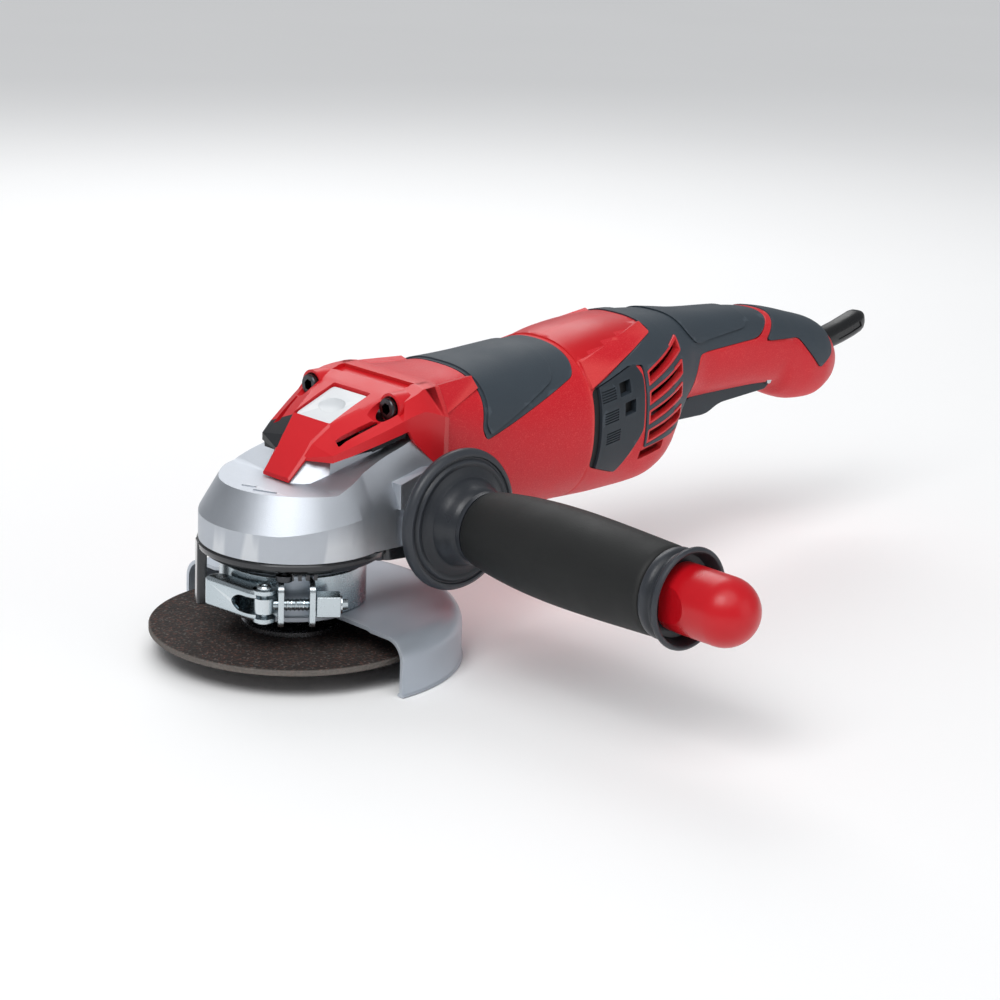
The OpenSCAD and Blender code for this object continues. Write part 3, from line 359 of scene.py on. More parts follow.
def toned(tree, factor, base, *reach):
    """A colour that drifts between the darkest and lightest tone of a base."""
    dark, light = pair(base, *reach)
    mix = add(tree, "ShaderNodeMix", {0: factor}, {6: (*dark, 1), 7: (*light, 1)}, data_type="RGBA")
    return mix.outputs[2]


def worn(tree, colour, edge, strength):
    """Lets an edge colour through where the surface bends outwards."""
    bend = add(tree, "ShaderNodeNewGeometry").outputs["Pointiness"]
    reach = add(tree, "ShaderNodeMapRange", {0: bend}, {1: 0.515, 2: 0.58, 3: 0.0, 4: strength})
    mix = add(tree, "ShaderNodeMix", {0: reach.outputs[0], 6: colour}, {7: (*edge, 1)}, data_type="RGBA")
    return mix.outputs[2]


def moulded(name, base, edge, grain, depth, rough, spread=0.08, coat=0.0, speckle=0.0):
    """Injection-moulded plastic: slow changes of tone, a spark-eroded grain in the skin and rubbed edges."""
    material, tree, shader, place = new_material(name, IOR=1.5)
    shader.inputs["Specular IOR Level"].default_value = 0.34
    shader.inputs["Coat Weight"].default_value = coat
    shader.inputs["Coat Roughness"].default_value = 0.25
    slow = add(tree, "ShaderNodeTexNoise", {"Vector": place}, {"Scale": 28.0, "Detail": 4.0,
        "Roughness": 0.6})
    colour = toned(tree, slow.outputs[0], base)
    fine = add(tree, "ShaderNodeTexNoise", {"Vector": place},
               {"Scale": 1 / (grain * MM), "Detail": 2.0, "Roughness": 0.55})
    pits = add(tree, "ShaderNodeTexVoronoi", {"Vector": place}, {"Scale": 0.6 / (grain * MM)})
    if speckle > 0:
        fleck = add(tree, "ShaderNodeMapRange", {0: fine.outputs[0]}, {1: 0.52, 2: 0.72, 3: 0.0, 4: speckle})
        bright = add(tree, "ShaderNodeMix", {0: fleck.outputs[0], 6: colour},
                     {7: (*linear(edge), 1)}, data_type="RGBA")
        colour = bright.outputs[2]
    tree.links.new(worn(tree, colour, linear(edge), 0.35), shader.inputs["Base Color"])
    gloss = add(tree, "ShaderNodeMapRange", {0: slow.outputs[0]}, {1: 0.3, 2: 0.7, 3: rough - spread,
        4: rough + spread})
    tree.links.new(gloss.outputs[0], shader.inputs["Roughness"])
    height = add(tree, "ShaderNodeMath", {0: fine.outputs[0], 1: pits.outputs["Distance"]}, operation="ADD")
    bump = add(tree, "ShaderNodeBump", {"Height": height.outputs[0]}, {"Strength": 0.6,
        "Distance": depth * MM})
    tree.links.new(bump.outputs[0], shader.inputs["Normal"])
    return material


def metal(name, base, edge, grain, depth, rough, spread=0.07, stretch=(1, 1, 1)):
    """Bare or plated metal: faint clouding, a grain from casting, turning or drawing, and bright edges."""
    material, tree, shader, place = new_material(name, Metallic=1.0)
    slow = add(tree, "ShaderNodeTexNoise", {"Vector": place}, {"Scale": 45.0, "Detail": 5.0,
        "Roughness": 0.65})
    colour = toned(tree, slow.outputs[0], base)
    tree.links.new(worn(tree, colour, linear(edge), 0.5), shader.inputs["Base Color"])
    drawn = add(tree, "ShaderNodeMapping", {"Vector": place}, {"Scale": stretch})
    fine = add(tree, "ShaderNodeTexNoise", {"Vector": drawn.outputs[0]},
               {"Scale": 1 / (grain * MM), "Detail": 3.0, "Roughness": 0.6})
    mixed = add(tree, "ShaderNodeMath", {0: slow.outputs[0], 1: fine.outputs[0]}, operation="ADD")
    gloss = add(tree, "ShaderNodeMapRange", {0: mixed.outputs[0]}, {1: 0.7, 2: 1.3, 3: rough - spread,
        4: rough + spread})
    tree.links.new(gloss.outputs[0], shader.inputs["Roughness"])
    bump = add(tree, "ShaderNodeBump", {"Height": fine.outputs[0]}, {"Strength": 0.5, "Distance": depth * MM})
    tree.links.new(bump.outputs[0], shader.inputs["Normal"])
    return material


def painted_steel(name, base, edge, rough, coat):
    """Pressed sheet under a thin satin coat: even tone, orange peel about 2 mm across, bare metal at the
    edges."""
    material, tree, shader, place = new_material(name, Metallic=0.55, IOR=1.5)
    shader.inputs["Coat Weight"].default_value = coat
    shader.inputs["Coat Roughness"].default_value = 0.2
    slow = add(tree, "ShaderNodeTexNoise", {"Vector": place}, {"Scale": 22.0, "Detail": 4.0})
    colour = toned(tree, slow.outputs[0], base)
    tree.links.new(worn(tree, colour, linear(edge), 0.5), shader.inputs["Base Color"])
    peel = add(tree, "ShaderNodeTexNoise", {"Vector": place}, {"Scale": 500.0, "Detail": 2.0})
    gloss = add(tree, "ShaderNodeMapRange", {0: slow.outputs[0]}, {1: 0.3, 2: 0.7, 3: rough - 0.05,
        4: rough + 0.07})
    tree.links.new(gloss.outputs[0], shader.inputs["Roughness"])
    bump = add(tree, "ShaderNodeBump", {"Height": peel.outputs[0]}, {"Strength": 0.25, "Distance": 0.05 * MM})
    tree.links.new(bump.outputs[0], shader.inputs["Normal"])
    return material


def abrasive(name, base):
    """Resin-bonded abrasive: grains about 0.8 mm across in a brown-black bond, with rust-red and grey
    flecks."""
    material, tree, shader, place = new_material(name, IOR=1.5)
    grit = add(tree, "ShaderNodeTexVoronoi", {"Vector": place}, {"Scale": 1250.0})
    coarse = add(tree, "ShaderNodeTexVoronoi", {"Vector": place}, {"Scale": 620.0})
    cloud = add(tree, "ShaderNodeTexNoise", {"Vector": place}, {"Scale": 90.0, "Detail": 6.0,
        "Roughness": 0.7})
    bond = toned(tree, cloud.outputs[0], base, 0.4, 1.2)
    pick = add(tree, "ShaderNodeSeparateColor", {0: grit.outputs["Color"]})
    rust = add(tree, "ShaderNodeMapRange", {0: pick.outputs[0]}, {1: 0.72, 2: 0.95, 3: 0.0, 4: 0.5})
    rusty = add(tree, "ShaderNodeMix", {0: rust.outputs[0], 6: bond}, {7: (*linear("#6B4338"), 1)},
        data_type="RGBA")
    ash = add(tree, "ShaderNodeMapRange", {0: pick.outputs[1]}, {1: 0.86, 2: 1.0, 3: 0.0, 4: 0.35})
    ashy = add(tree, "ShaderNodeMix", {0: ash.outputs[0], 6: rusty.outputs[2]},
               {7: (*linear("#8C8580"), 1)}, data_type="RGBA")
    # The rim is freshly cut and greyer than the faces
    split = add(tree, "ShaderNodeSeparateXYZ", {0: place})
    flat = add(tree, "ShaderNodeCombineXYZ", {0: split.outputs[0], 1: split.outputs[1]})
    out = add(tree, "ShaderNodeVectorMath", {0: flat.outputs[0]}, operation="LENGTH")
    rim_r = high("disc", "x") * MM
    rim = add(tree, "ShaderNodeMapRange", {0: out.outputs["Value"]}, {1: rim_r - 0.8 * MM, 2: rim_r,
        3: 0.0, 4: 0.7})
    final = add(tree, "ShaderNodeMix", {0: rim.outputs[0], 6: ashy.outputs[2]},
                {7: (*linear("#77716C"), 1)}, data_type="RGBA")
    tree.links.new(final.outputs[2], shader.inputs["Base Color"])
    shader.inputs["Roughness"].default_value = 0.86
    lumps = add(tree, "ShaderNodeMath", {0: grit.outputs["Distance"], 1: coarse.outputs["Distance"]},
        operation="ADD")
    bump = add(tree, "ShaderNodeBump", {"Height": lumps.outputs[0]}, {"Strength": 0.8, "Distance": 0.35 * MM})
    tree.links.new(bump.outputs[0], shader.inputs["Normal"])
    return material


# Each finish by name, made when the first piece asks for it. Sizes are in millimetres: grain, depth of
# the grain
MADE = {}
RECIPES = {
    "red_textured_abs": lambda c: moulded(
        "red_textured_abs", c.housing_red, "#F0625C", 0.45, 0.07, 0.42, speckle=0.35),
    "red_smooth_abs": lambda c: moulded("red_smooth_abs", c.cover_red, "#E8343A", 0.3, 0.012, 0.36, coat=0.1),
    "red_polished_abs": lambda c: moulded("red_polished_abs", c.key_red, "#F25A55", 0.4, 0.006, 0.3,
        coat=0.15),
    "slate_soft_elastomer": lambda c: moulded("slate_soft_elastomer", c.slate, "#59636C", 0.35, 0.03, 0.55),
    "slate_hard_nylon": lambda c: moulded(
        "slate_hard_nylon", linear("#2C333A"), "#525B64", 0.4, 0.03, 0.42),
    "charcoal_elastomer": lambda c: moulded("charcoal_elastomer", c.charcoal, "#474746", 0.4, 0.04, 0.62),
    "charcoal_satin_nylon": lambda c: moulded(
        "charcoal_satin_nylon", linear("#2E3136"), "#5A5E66", 0.4, 0.02, 0.34),
    "black_moulded_nylon": lambda c: moulded(
        "black_moulded_nylon", linear("#17181A"), "#3A3C40", 0.4, 0.02, 0.45),
    "black_gloss_rubber": lambda c: moulded(
        "black_gloss_rubber", linear("#151618"), "#34363A", 0.5, 0.02, 0.28, coat=0.3),
    "light_grey_moulding": lambda c: moulded(
        "light_grey_moulding", c.button_grey, "#F2F3F4", 0.4, 0.01, 0.32),
    "natural_nylon": lambda c: moulded("natural_nylon", linear("#D8D4C8"), "#F0EEE6", 0.5, 0.02, 0.4),
    "pressed_carbon": lambda c: moulded("pressed_carbon", linear("#1E1E1E"), "#4A4A4A", 0.3, 0.03, 0.5),
    "cast_aluminium": lambda c: metal("cast_aluminium", c.cast_grey, "#F2F4F6", 0.45, 0.11, 0.5, 0.05),
    "zinc_plated_steel": lambda c: metal(
        "zinc_plated_steel", c.zinc, "#F0F4F6", 0.8, 0.008, 0.26, 0.03),
    "ground_steel": lambda c: metal("ground_steel", linear("#B0B3B8"), "#E6E8EA", 0.5, 0.01, 0.26),
    "dark_turned_steel": lambda c: metal("dark_turned_steel", linear("#585A5F"), "#A4A7AC", 0.5, 0.02, 0.36),
    "black_oxide_steel": lambda c: metal("black_oxide_steel", linear("#1F2022"), "#6A6C70", 0.4, 0.015, 0.3),
    "sintered_bronze": lambda c: metal("sintered_bronze", linear("#A0743E"), "#D6AE74", 0.4, 0.03, 0.42),
    "enamelled_copper": lambda c: metal(
        "enamelled_copper", linear("#AA5A24"), "#E0985A", 0.9, 0.15, 0.3, stretch=(0.15, 1, 1)),
    "folded_brass": lambda c: metal("folded_brass", linear("#BC9650"), "#EBD08C", 0.5, 0.015, 0.3),
    "stacked_silicon_steel": lambda c: metal(
        "stacked_silicon_steel", linear("#64676C"), "#A4A7AC", 0.5, 0.12, 0.4, stretch=(1, 0.02, 0.02)),
    "drawn_spring_wire": lambda c: metal("drawn_spring_wire", linear("#B4B7BC"), "#EAECEE", 0.3, 0.01, 0.25),
    "silver_painted_steel": lambda c: painted_steel("silver_painted_steel", c.guard_silver, "#E0E4E8",
        0.38, 0.2),
    "black_coated_casting": lambda c: painted_steel(
        "black_coated_casting", linear("#121315"), "#4C4E52", 0.22, 0.6),
    "resin_bonded_abrasive": lambda c: abrasive("resin_bonded_abrasive", c.disc_brown),
}


def look(name):
    """The named finish, made from the scene's colours the first time."""
    if name not in MADE:
        MADE[name] = RECIPES[name](bpy.context.scene.grinder_colours)
    return MADE[name]


# ---------- sizes and colours that a user would change ----------

class GrinderSizes(bpy.types.PropertyGroup):
    """Sizes of the finishing detail."""
    mould_edge: bpy.props.FloatProperty(
        name="Moulded edge", description="Width of the rounding on moulded edges", default=0.0006,
        min=0.0002, max=0.0012, precision=5, unit="LENGTH", subtype="DISTANCE")
    cast_edge: bpy.props.FloatProperty(
        name="Cast edge", description="Width of the rounding on the cast gear head", default=0.0009,
        min=0.0003, max=0.0015, precision=5, unit="LENGTH", subtype="DISTANCE")
    grip_step: bpy.props.FloatProperty(
        name="Grip step", description="How far the pads of the soft grips stand proud", default=0.0007,
        min=0.0003, max=0.0012, precision=5, unit="LENGTH", subtype="DISTANCE")
    thread_pitch: bpy.props.FloatProperty(
        name="Clamp thread pitch", description="Distance between the turns of the clamp screw's thread",
        default=0.0016, min=0.001, max=0.0025, precision=5, unit="LENGTH", subtype="DISTANCE")
    floor_side: bpy.props.FloatProperty(
        name="Floor side", description="Side of the square floor", default=14.0, min=4.0, max=30.0,
        unit="LENGTH", subtype="DISTANCE")


class GrinderColours(bpy.types.PropertyGroup):
    """Colours of the pieces."""
    housing_red: bpy.props.FloatVectorProperty(
        name="Housing red", description="Grained red of the motor housing and rear shells",
        subtype="COLOR", size=3, min=0, max=1, default=linear("#D01826"))
    cover_red: bpy.props.FloatVectorProperty(
        name="Cover red", description="Smooth red of the gear cover", subtype="COLOR", size=3, min=0, max=1,
        default=linear("#C60616"))
    key_red: bpy.props.FloatVectorProperty(
        name="Key red", description="Polished red of the key's cap", subtype="COLOR", size=3, min=0, max=1,
        default=linear("#C4101C"))
    slate: bpy.props.FloatVectorProperty(
        name="Slate", description="Soft overmoulded grips", subtype="COLOR", size=3, min=0, max=1,
        default=linear("#3A434B"))
    charcoal: bpy.props.FloatVectorProperty(
        name="Charcoal", description="Soft sleeve of the side handle", subtype="COLOR", size=3, min=0, max=1,
        default=linear("#1E1F1F"))
    cast_grey: bpy.props.FloatVectorProperty(
        name="Cast grey", description="Die-cast gear head", subtype="COLOR", size=3, min=0, max=1,
        default=linear("#C2C7CE"))
    zinc: bpy.props.FloatVectorProperty(
        name="Zinc", description="Plated clamp, lever and screw", subtype="COLOR", size=3, min=0, max=1,
        default=linear("#B8C4CA"))
    guard_silver: bpy.props.FloatVectorProperty(
        name="Guard silver", description="Painted guard", subtype="COLOR", size=3, min=0, max=1,
        default=linear("#B4BCC6"))
    button_grey: bpy.props.FloatVectorProperty(
        name="Button grey", description="Spindle lock button", subtype="COLOR", size=3, min=0, max=1,
        default=linear("#D4D8DB"))
    disc_brown: bpy.props.FloatVectorProperty(
        name="Disc brown", description="Bond of the abrasive disc", subtype="COLOR", size=3, min=0, max=1,
        default=linear("#2C2522"))


def size(name):
    """One of the scene's sizes, in millimetres."""
    return getattr(bpy.context.scene.grinder_sizes, name) / MM


# ---------- repeated pieces ----------

def open_tree(name, *inputs):
    """A node tree for a modifier, with its named inputs and a geometry in and out."""
    tree = bpy.data.node_groups.new(name, "GeometryNodeTree")
    tree.interface.new_socket("Geometry", in_out="INPUT", socket_type="NodeSocketGeometry")
    for label, kind, value in inputs:
        socket = tree.interface.new_socket(label, in_out="INPUT", socket_type=kind)
        if value is not None:
            socket.default_value = value
    tree.interface.new_socket("Geometry", in_out="OUTPUT", socket_type="NodeSocketGeometry")
    return tree, add(tree, "NodeGroupInput"), add(tree, "NodeGroupOutput")


def grown(name, points, tree, values):
    """Runs a node tree on an object whose mesh is the given points, and keeps the plain mesh that comes
    out."""
    mesh = bpy.data.meshes.new(name)
    mesh.from_pydata([Vector(p) * MM for p in points], [], [])
    piece = bpy.data.objects.new(name, mesh)
    step = piece.modifiers.new("nodes", "NODES")
    step.node_group = tree
    for socket in tree.interface.items_tree:
        if socket.item_type == "SOCKET" and socket.name in values:
            step[socket.identifier] = values[socket.name]
    bpy.context.scene.collection.objects.link(piece)
    return settle(piece)


def at_points(name, points, pattern, finish_material, scale=1.0):
    """Puts a copy of a pattern, which is used up, at every point."""
    tree, given, out = open_tree(
        name + "_places", ("Pattern", "NodeSocketObject", None), ("Scale", "NodeSocketFloat", 1.0),
        ("Finish", "NodeSocketMaterial", None))
    dots = add(tree, "GeometryNodeMeshToPoints", {"Mesh": given.outputs["Geometry"]})
    shape = add(tree, "GeometryNodeObjectInfo", {"Object": given.outputs["Pattern"]})
    spread = add(tree, "GeometryNodeInstanceOnPoints",
                 {"Points": dots.outputs[0], "Instance": shape.outputs["Geometry"],
                     "Scale": given.outputs["Scale"]})
    real = add(tree, "GeometryNodeRealizeInstances", {0: spread.outputs[0]})
    dressed = add(tree, "GeometryNodeSetMaterial", {"Geometry": real.outputs[0],
        "Material": given.outputs["Finish"]})
    tree.links.new(dressed.outputs[0], out.inputs[0])
    piece = grown(name, points, tree, {"Pattern": pattern, "Scale": scale, "Finish": finish_material})
    bpy.data.objects.remove(pattern)
    return piece


def spiral(name, radius, pitch, turns, thick, finish_material):
    """A raised thread about Z that starts at the origin."""
    tree, given, out = open_tree(
        name + "_thread", ("Radius", "NodeSocketFloat", 0.0025), ("Pitch", "NodeSocketFloat", 0.0016),
        ("Turns", "NodeSocketFloat", 5.0), ("Thickness", "NodeSocketFloat", 0.0004),
        ("Finish", "NodeSocketMaterial", None))
    rise = add(tree, "ShaderNodeMath", {0: given.outputs["Pitch"], 1: given.outputs["Turns"]},
        operation="MULTIPLY")
    path = add(tree, "GeometryNodeCurveSpiral",
               {"Rotations": given.outputs["Turns"], "Start Radius": given.outputs["Radius"],
                "End Radius": given.outputs["Radius"], "Height": rise.outputs[0]}, {"Resolution": 28})
    ring = add(tree, "GeometryNodeCurvePrimitiveCircle", {"Radius": given.outputs["Thickness"]},
        {"Resolution": 6})
    crest = add(tree, "GeometryNodeCurveToMesh",
                {"Curve": path.outputs[0], "Profile Curve": ring.outputs[0]}, {"Fill Caps": True})
    real = add(tree, "GeometryNodeRealizeInstances", {0: crest.outputs[0]})
    dressed = add(tree, "GeometryNodeSetMaterial", {"Geometry": real.outputs[0],
        "Material": given.outputs["Finish"]})
    tree.links.new(dressed.outputs[0], out.inputs[0])
    return grown(name, [(0, 0, 0)], tree, {
        "Radius": radius * MM, "Pitch": pitch * MM, "Turns": turns, "Thickness": thick * MM,
        "Finish": finish_material})


def screw_pattern(name, shank_r, long, head_r, head_h, along="x"):
    """A socket-head screw with a plain round head, its seat at the origin, the shank towards the far end."""
    rim = 0.35
    piece = lathe(name, [(0, -head_h), (head_r - rim, -head_h), (head_r, -head_h + rim), (head_r, -rim * 0.5),
                         (head_r - rim * 0.5, 0), (shank_r, 0), (shank_r, long - 0.6), (shank_r - 0.6,
                             long), (0, long)],
                  40, along)
    hexagon = [(shank_r * 0.98 * cos(radians(60 * k + 15)), shank_r * 0.98 * sin(radians(60 * k + 15)))
               for k in range(6)]
    cut(piece, prism("key_way", hexagon, along, -head_h - 1, -head_h * 0.3))
    return soften(piece, 0)


def pushed(outline, distance):
    """A flat outline moved outwards along its corners' bisectors by a distance."""
    count = len(outline)
    area = sum(outline[i][0] * outline[(i + 1) % count][1] - outline[(i + 1) % count][0] * outline[i][1]
               for i in range(count))
    side = 1 if area > 0 else -1
    moved = []
    for i in range(count):
        (ax, ay), (bx, by), (cx, cy) = outline[i - 1], outline[i], outline[(i + 1) % count]
        ux, uy, vx, vy = bx - ax, by - ay, cx - bx, cy - by
        lu, lv = hypot(ux, uy), hypot(vx, vy)
        nx1, ny1, nx2, ny2 = uy / lu * side, -ux / lu * side, vy / lv * side, -vx / lv * side
        k = distance / max(0.35, 1 + nx1 * nx2 + ny1 * ny2)
        moved.append((bx + (nx1 + nx2) * k, by + (ny1 + ny2) * k))
    return moved


def eased(outline, reach=2.0, steps=4):
    """A flat outline with its corners rounded. A corner may carry its own reach as a third number."""
    count = len(outline)
    ring = []
    for i in range(count):
        a, b, c = outline[i - 1], outline[i], outline[(i + 1) % count]
        own = b[2] if len(b) > 2 else reach
        la, lc = hypot(a[0] - b[0], a[1] - b[1]), hypot(c[0] - b[0], c[1] - b[1])
        own = min(own, la * 0.45, lc * 0.45)
        if own < 0.05:
            ring.append((b[0], b[1]))
            continue
        p = (b[0] + (a[0] - b[0]) * own / la, b[1] + (a[1] - b[1]) * own / la)
        q = (b[0] + (c[0] - b[0]) * own / lc, b[1] + (c[1] - b[1]) * own / lc)
        for k in range(steps + 1):
            t = k / steps
            ring.append(((1 - t) ** 2 * p[0] + 2 * t * (1 - t) * b[0] + t * t * q[0],
                         (1 - t) ** 2 * p[1] + 2 * t * (1 - t) * b[1] + t * t * q[1]))
    return ring


def strip_of(outline, name="tool", reach=60.0, corner=2.0):
    """A side outline (X, Z) pushed across the whole tool."""
    return prism(name, eased(outline, corner), "y", -reach, reach)


# ---------- disc, flanges and guard ----------

class MakeDisc(bpy.types.Operator):
    """Makes the abrasive disc and the two flanges that hold it"""
    bl_idname = "grinder.disc"
    bl_label = "Disc and flanges"

    def execute(self, context):
        outer, bore = high("disc", "x"), 11.1
        bottom, top = low("disc", "z"), high("disc", "z")
        chip = 0.3
        wheel = lathe("abrasive_disc", [
            (bore, bottom + chip), (bore + chip, bottom), (outer - 0.5, bottom), (outer, bottom + 0.4),
            (outer, top - 0.4), (outer - 0.5, top), (bore + chip, top), (bore, top - chip)], 144)
        soften(wheel, 0)
        finish(wheel, look("resin_bonded_abrasive"), "spindle_group", "abrasive", "disc")

        nut_low, nut_r = low("flange_nut", "z"), high("flange_nut", "x")
        nut = lathe("pin_hole_nut", [
            (7.03, nut_low + 0.6), (7.6, nut_low), (15.2, nut_low), (16, nut_low + 0.8), (16, bottom - 3),
            (16.6, bottom - 2.4), (nut_r - 0.5, bottom - 2.4), (nut_r, bottom - 1.9), (nut_r, bottom - 0.01),
            (7.03, bottom - 0.01)], 96)
        cut(nut, rod("pin_hole", nut_low - 1, bottom - 2, 2.4, at=(0, 11.5, 0)),
            rod("pin_hole", nut_low - 1, bottom - 2, 2.4, at=(0, -11.5, 0)))
        soften(nut, 0)
        finish(nut, look("dark_turned_steel"), "spindle_group", "dark_steel", "flange_nut")

        seat_top, seat_r = high("inner_flange", "z"), high("inner_flange", "x")
        seat_piece = lathe("seat_flange", [
            (7.03, bottom + 0.4), (10.9, bottom + 0.4), (10.9, top + 0.01), (seat_r - 0.4, top + 0.01),
            (seat_r, top + 0.4), (seat_r, top + 2.2), (seat_r - 1.4, top + 3.2), (11.6, seat_top), (7.03,
                seat_top)], 96)
        soften(seat_piece, 0)
        finish(seat_piece, look("ground_steel"), "spindle_group", "ground_steel", "inner_flange")
        return {"FINISHED"}


def arc_points(cx, cy, r, start, end, steps=10):
    return [(cx + r * cos(radians(start + (end - start) * k / steps)),
             cy + r * sin(radians(start + (end - start) * k / steps))) for k in range(steps + 1)]


class MakeGuard(bpy.types.Operator):
    """Makes the pressed guard with its rolled lip and neck"""
    bl_idname = "grinder.guard"
    bl_label = "Guard"

    def execute(self, context):
        rim, sheet, bend = -low("guard", "y") - 0.8, 1.6, 9.0
        bottom, top = GUARD_LOW, high("guard", "z")
        inner = NECK_R - 3.5
        neck = inner + 1.7
        profile = [(inner, PLATE_Z - sheet), (inner, top - 0.4), (inner + 0.4, top), (neck - 0.4, top),
                   (neck, top - 0.4), (neck, PLATE_Z + 1.2), (neck + 0.4, PLATE_Z + 0.4), (neck + 1.2,
                       PLATE_Z)]
        # A shallow pressed step runs round the plate
        profile += [(rim - 21, PLATE_Z), (rim - 19.5, PLATE_Z - 0.5)]
        profile += arc_points(rim - bend, PLATE_Z - 0.5 - bend, bend, 90, 0)
        profile += [(rim, bottom + 1.6), (rim + 0.5, bottom + 0.9), (rim + 0.7, bottom + 0.3),
                    (rim + 0.1, bottom), (rim - sheet - 0.8, bottom), (rim - sheet - 1.2, bottom + 0.5),
                    (rim - sheet - 0.8, bottom + 1.2), (rim - sheet, bottom + 1.6)]
        profile += arc_points(rim - bend, PLATE_Z - 0.5 - bend, bend - sheet, 0, 90)
        profile += [(rim - 19.5, PLATE_Z - 0.5 - sheet), (rim - 21, PLATE_Z - sheet)]
        hood = lathe("guard_shell", profile, 160)
        front = block("front", (-100, -100, -50), (98.8, 200, 120))
        cut(front, rod("neck_room", -51, 71, neck + 0.9))
        cut(hood, front)
        soften(hood, 0.25, 2, 40)
        finish(hood, look("silver_painted_steel"), "guard", "guard_steel", "guard")
        return {"FINISHED"}


CLAMP_TURN = -127.0
CLAMP_Z = 29.5
CLAMP_R = 34.5
LEVER_AT = (34.5, -12.5)
LEVER_TURN = -136.5


def turned(piece, angle, shift=(0, 0, 0)):
    """Moves a piece by a shift in millimetres, then turns it about the spindle."""
    piece.data.transform(Matrix.Rotation(radians(angle), 4, "Z") @ Matrix.Translation(Vector(shift) * MM))
    return piece


class MakeClamp(bpy.types.Operator):
    """Makes the clamp round the guard's neck: band, screw, nut, lever and rivet"""
    bl_idname = "grinder.clamp"
    bl_label = "Guard clamp"

    def execute(self, context):
        zinc = look("zinc_plated_steel")
        bottom, top = low("clamp_band", "z"), high("clamp_band", "z")
        inner, outer, ear_gap, ear = NECK_R - 1.78, NECK_R, 10.0, 2.2
        band = lathe("clamp_ring", [(inner, bottom), (outer - 0.3, bottom), (outer, bottom + 0.3),
                                    (outer, top - 0.3), (outer - 0.3, top), (inner, top)], 128)
        cut(band, block("mouth", (0, -ear_gap / 2, bottom - 1), (60, ear_gap, 40)))
        ears = []
        for side in (-1, 1):
            ear_piece = prism("ear", eased([(outer - 1.4, bottom - 0.6), (outer + 10.8, bottom - 0.6, 3.0),
                                            (outer + 10.8, top, 3.0), (outer - 1.4, top)], 0.0), "y",
                              side * ear_gap / 2, side * (ear_gap / 2 + ear))
            cut(ear_piece, rod("screw_way", -30, 30, 2.8, "y", (CLAMP_R, 0, CLAMP_Z)))
            ears.append(ear_piece)
        join(band, *ears)
        turned(band, CLAMP_TURN)
        soften(band, 0.3, 2, 35)
        finish(band, zinc, "guard", "zinc_steel", "clamp_band")

        shank = rod("clamp_bolt", LEVER_AT[1] + 1, ear_gap / 2 + 15, 2.15, "y", (CLAMP_R, 0, CLAMP_Z))
        eye = rod("eye", CLAMP_Z - 3, CLAMP_Z + 3, 4, "z", (LEVER_AT[0], LEVER_AT[1], 0))
        join(shank, eye)
        cut(shank, rod("rivet_way", CLAMP_Z - 9, CLAMP_Z + 9, 1.72, "z", (LEVER_AT[0], LEVER_AT[1], 0)))
        soften(shank, 0.2, 1)
        pitch = size("thread_pitch")
        thread = spiral("thread", 2.2, pitch, (ear_gap - 1.2) / pitch, 0.36, zinc)
        thread.data.transform(Matrix.Translation(Vector((CLAMP_R, ear_gap / 2 - 0.6, CLAMP_Z)) * MM)
                              @ Matrix.Rotation(radians(90), 4, "X"))
        together(shank, thread)
        turned(shank, CLAMP_TURN)
        shank.data.shade_smooth()
        shank.data.set_sharp_from_angle(angle=radians(40))
        finish(shank, zinc, "guard", "zinc_steel", "clamp_screw")

        start = ear_gap / 2 + ear + 0.4
        nut = block("clamp_block", (CLAMP_R - 4.2, start, CLAMP_Z - 4.2), (8.4, 9.6, 8.4))
        cut(nut, rod("way", 0, 40, 2.52, "y", (CLAMP_R, 0, CLAMP_Z)))
        collar = lathe("nut_collar", [(2.55, start + 9.4), (3.6, start + 9.4), (3.6, start + 10.2), (2.55,
            start + 10.2)],
                       40, "y", (CLAMP_R, 0, CLAMP_Z))
        soften(nut, 0.5, 3)
        together(nut, collar)
        turned(nut, CLAMP_TURN)
        finish(nut, zinc, "guard", "zinc_steel", "clamp_nut")

        long, wing, half = 28.6, 1.5, 6.4
        outline = eased([(0, -3.4, 3), (long - 3, -3.4, 3.4), (long, 0, 3.4), (long, 5, 3.8), (4, 5.6,
            1.5), (0, 4.6, 2)], 1.5)
        lever = prism("lever_channel", outline, "z", CLAMP_Z - half, CLAMP_Z + half)
        soften(lever, 2.4, 5, 38)
        cut(lever, prism("inside", [(-8, -9), (long - 1.6, -9), (long - 1.6, 1.5), (long - 3.6, 3.5), (5,
            4.1), (-8, 4.1)],
                         "z", CLAMP_Z - half + wing, CLAMP_Z + half - wing))
        for z in (CLAMP_Z - half, CLAMP_Z + half - wing):
            join(lever, rod("eye", z, z + wing, 4.6))
        # The web is forked towards the rivet
        fork = prism("fork", eased([(4, CLAMP_Z - 3.4, 0.1), (9.5, CLAMP_Z - 3.4, 3.2), (13.5, CLAMP_Z, 3.0),
                                    (9.5, CLAMP_Z + 3.4, 3.2), (4, CLAMP_Z + 3.4, 0.1)], 1.0, 6), "y", 0, 12)
        cut(lever, fork, block("mouth", (-9, 3.6, CLAMP_Z - 3.4), (13.2, 9, 6.8)),
            rod("rivet_way", CLAMP_Z - 9, CLAMP_Z + 9, 1.78))
        soften(lever, 0.3, 2, 38)
        turned(lever, LEVER_TURN)
        turned(lever, CLAMP_TURN, (LEVER_AT[0], LEVER_AT[1], 0))
        finish(lever, zinc, "lever", "zinc_steel", "clamp_lever")

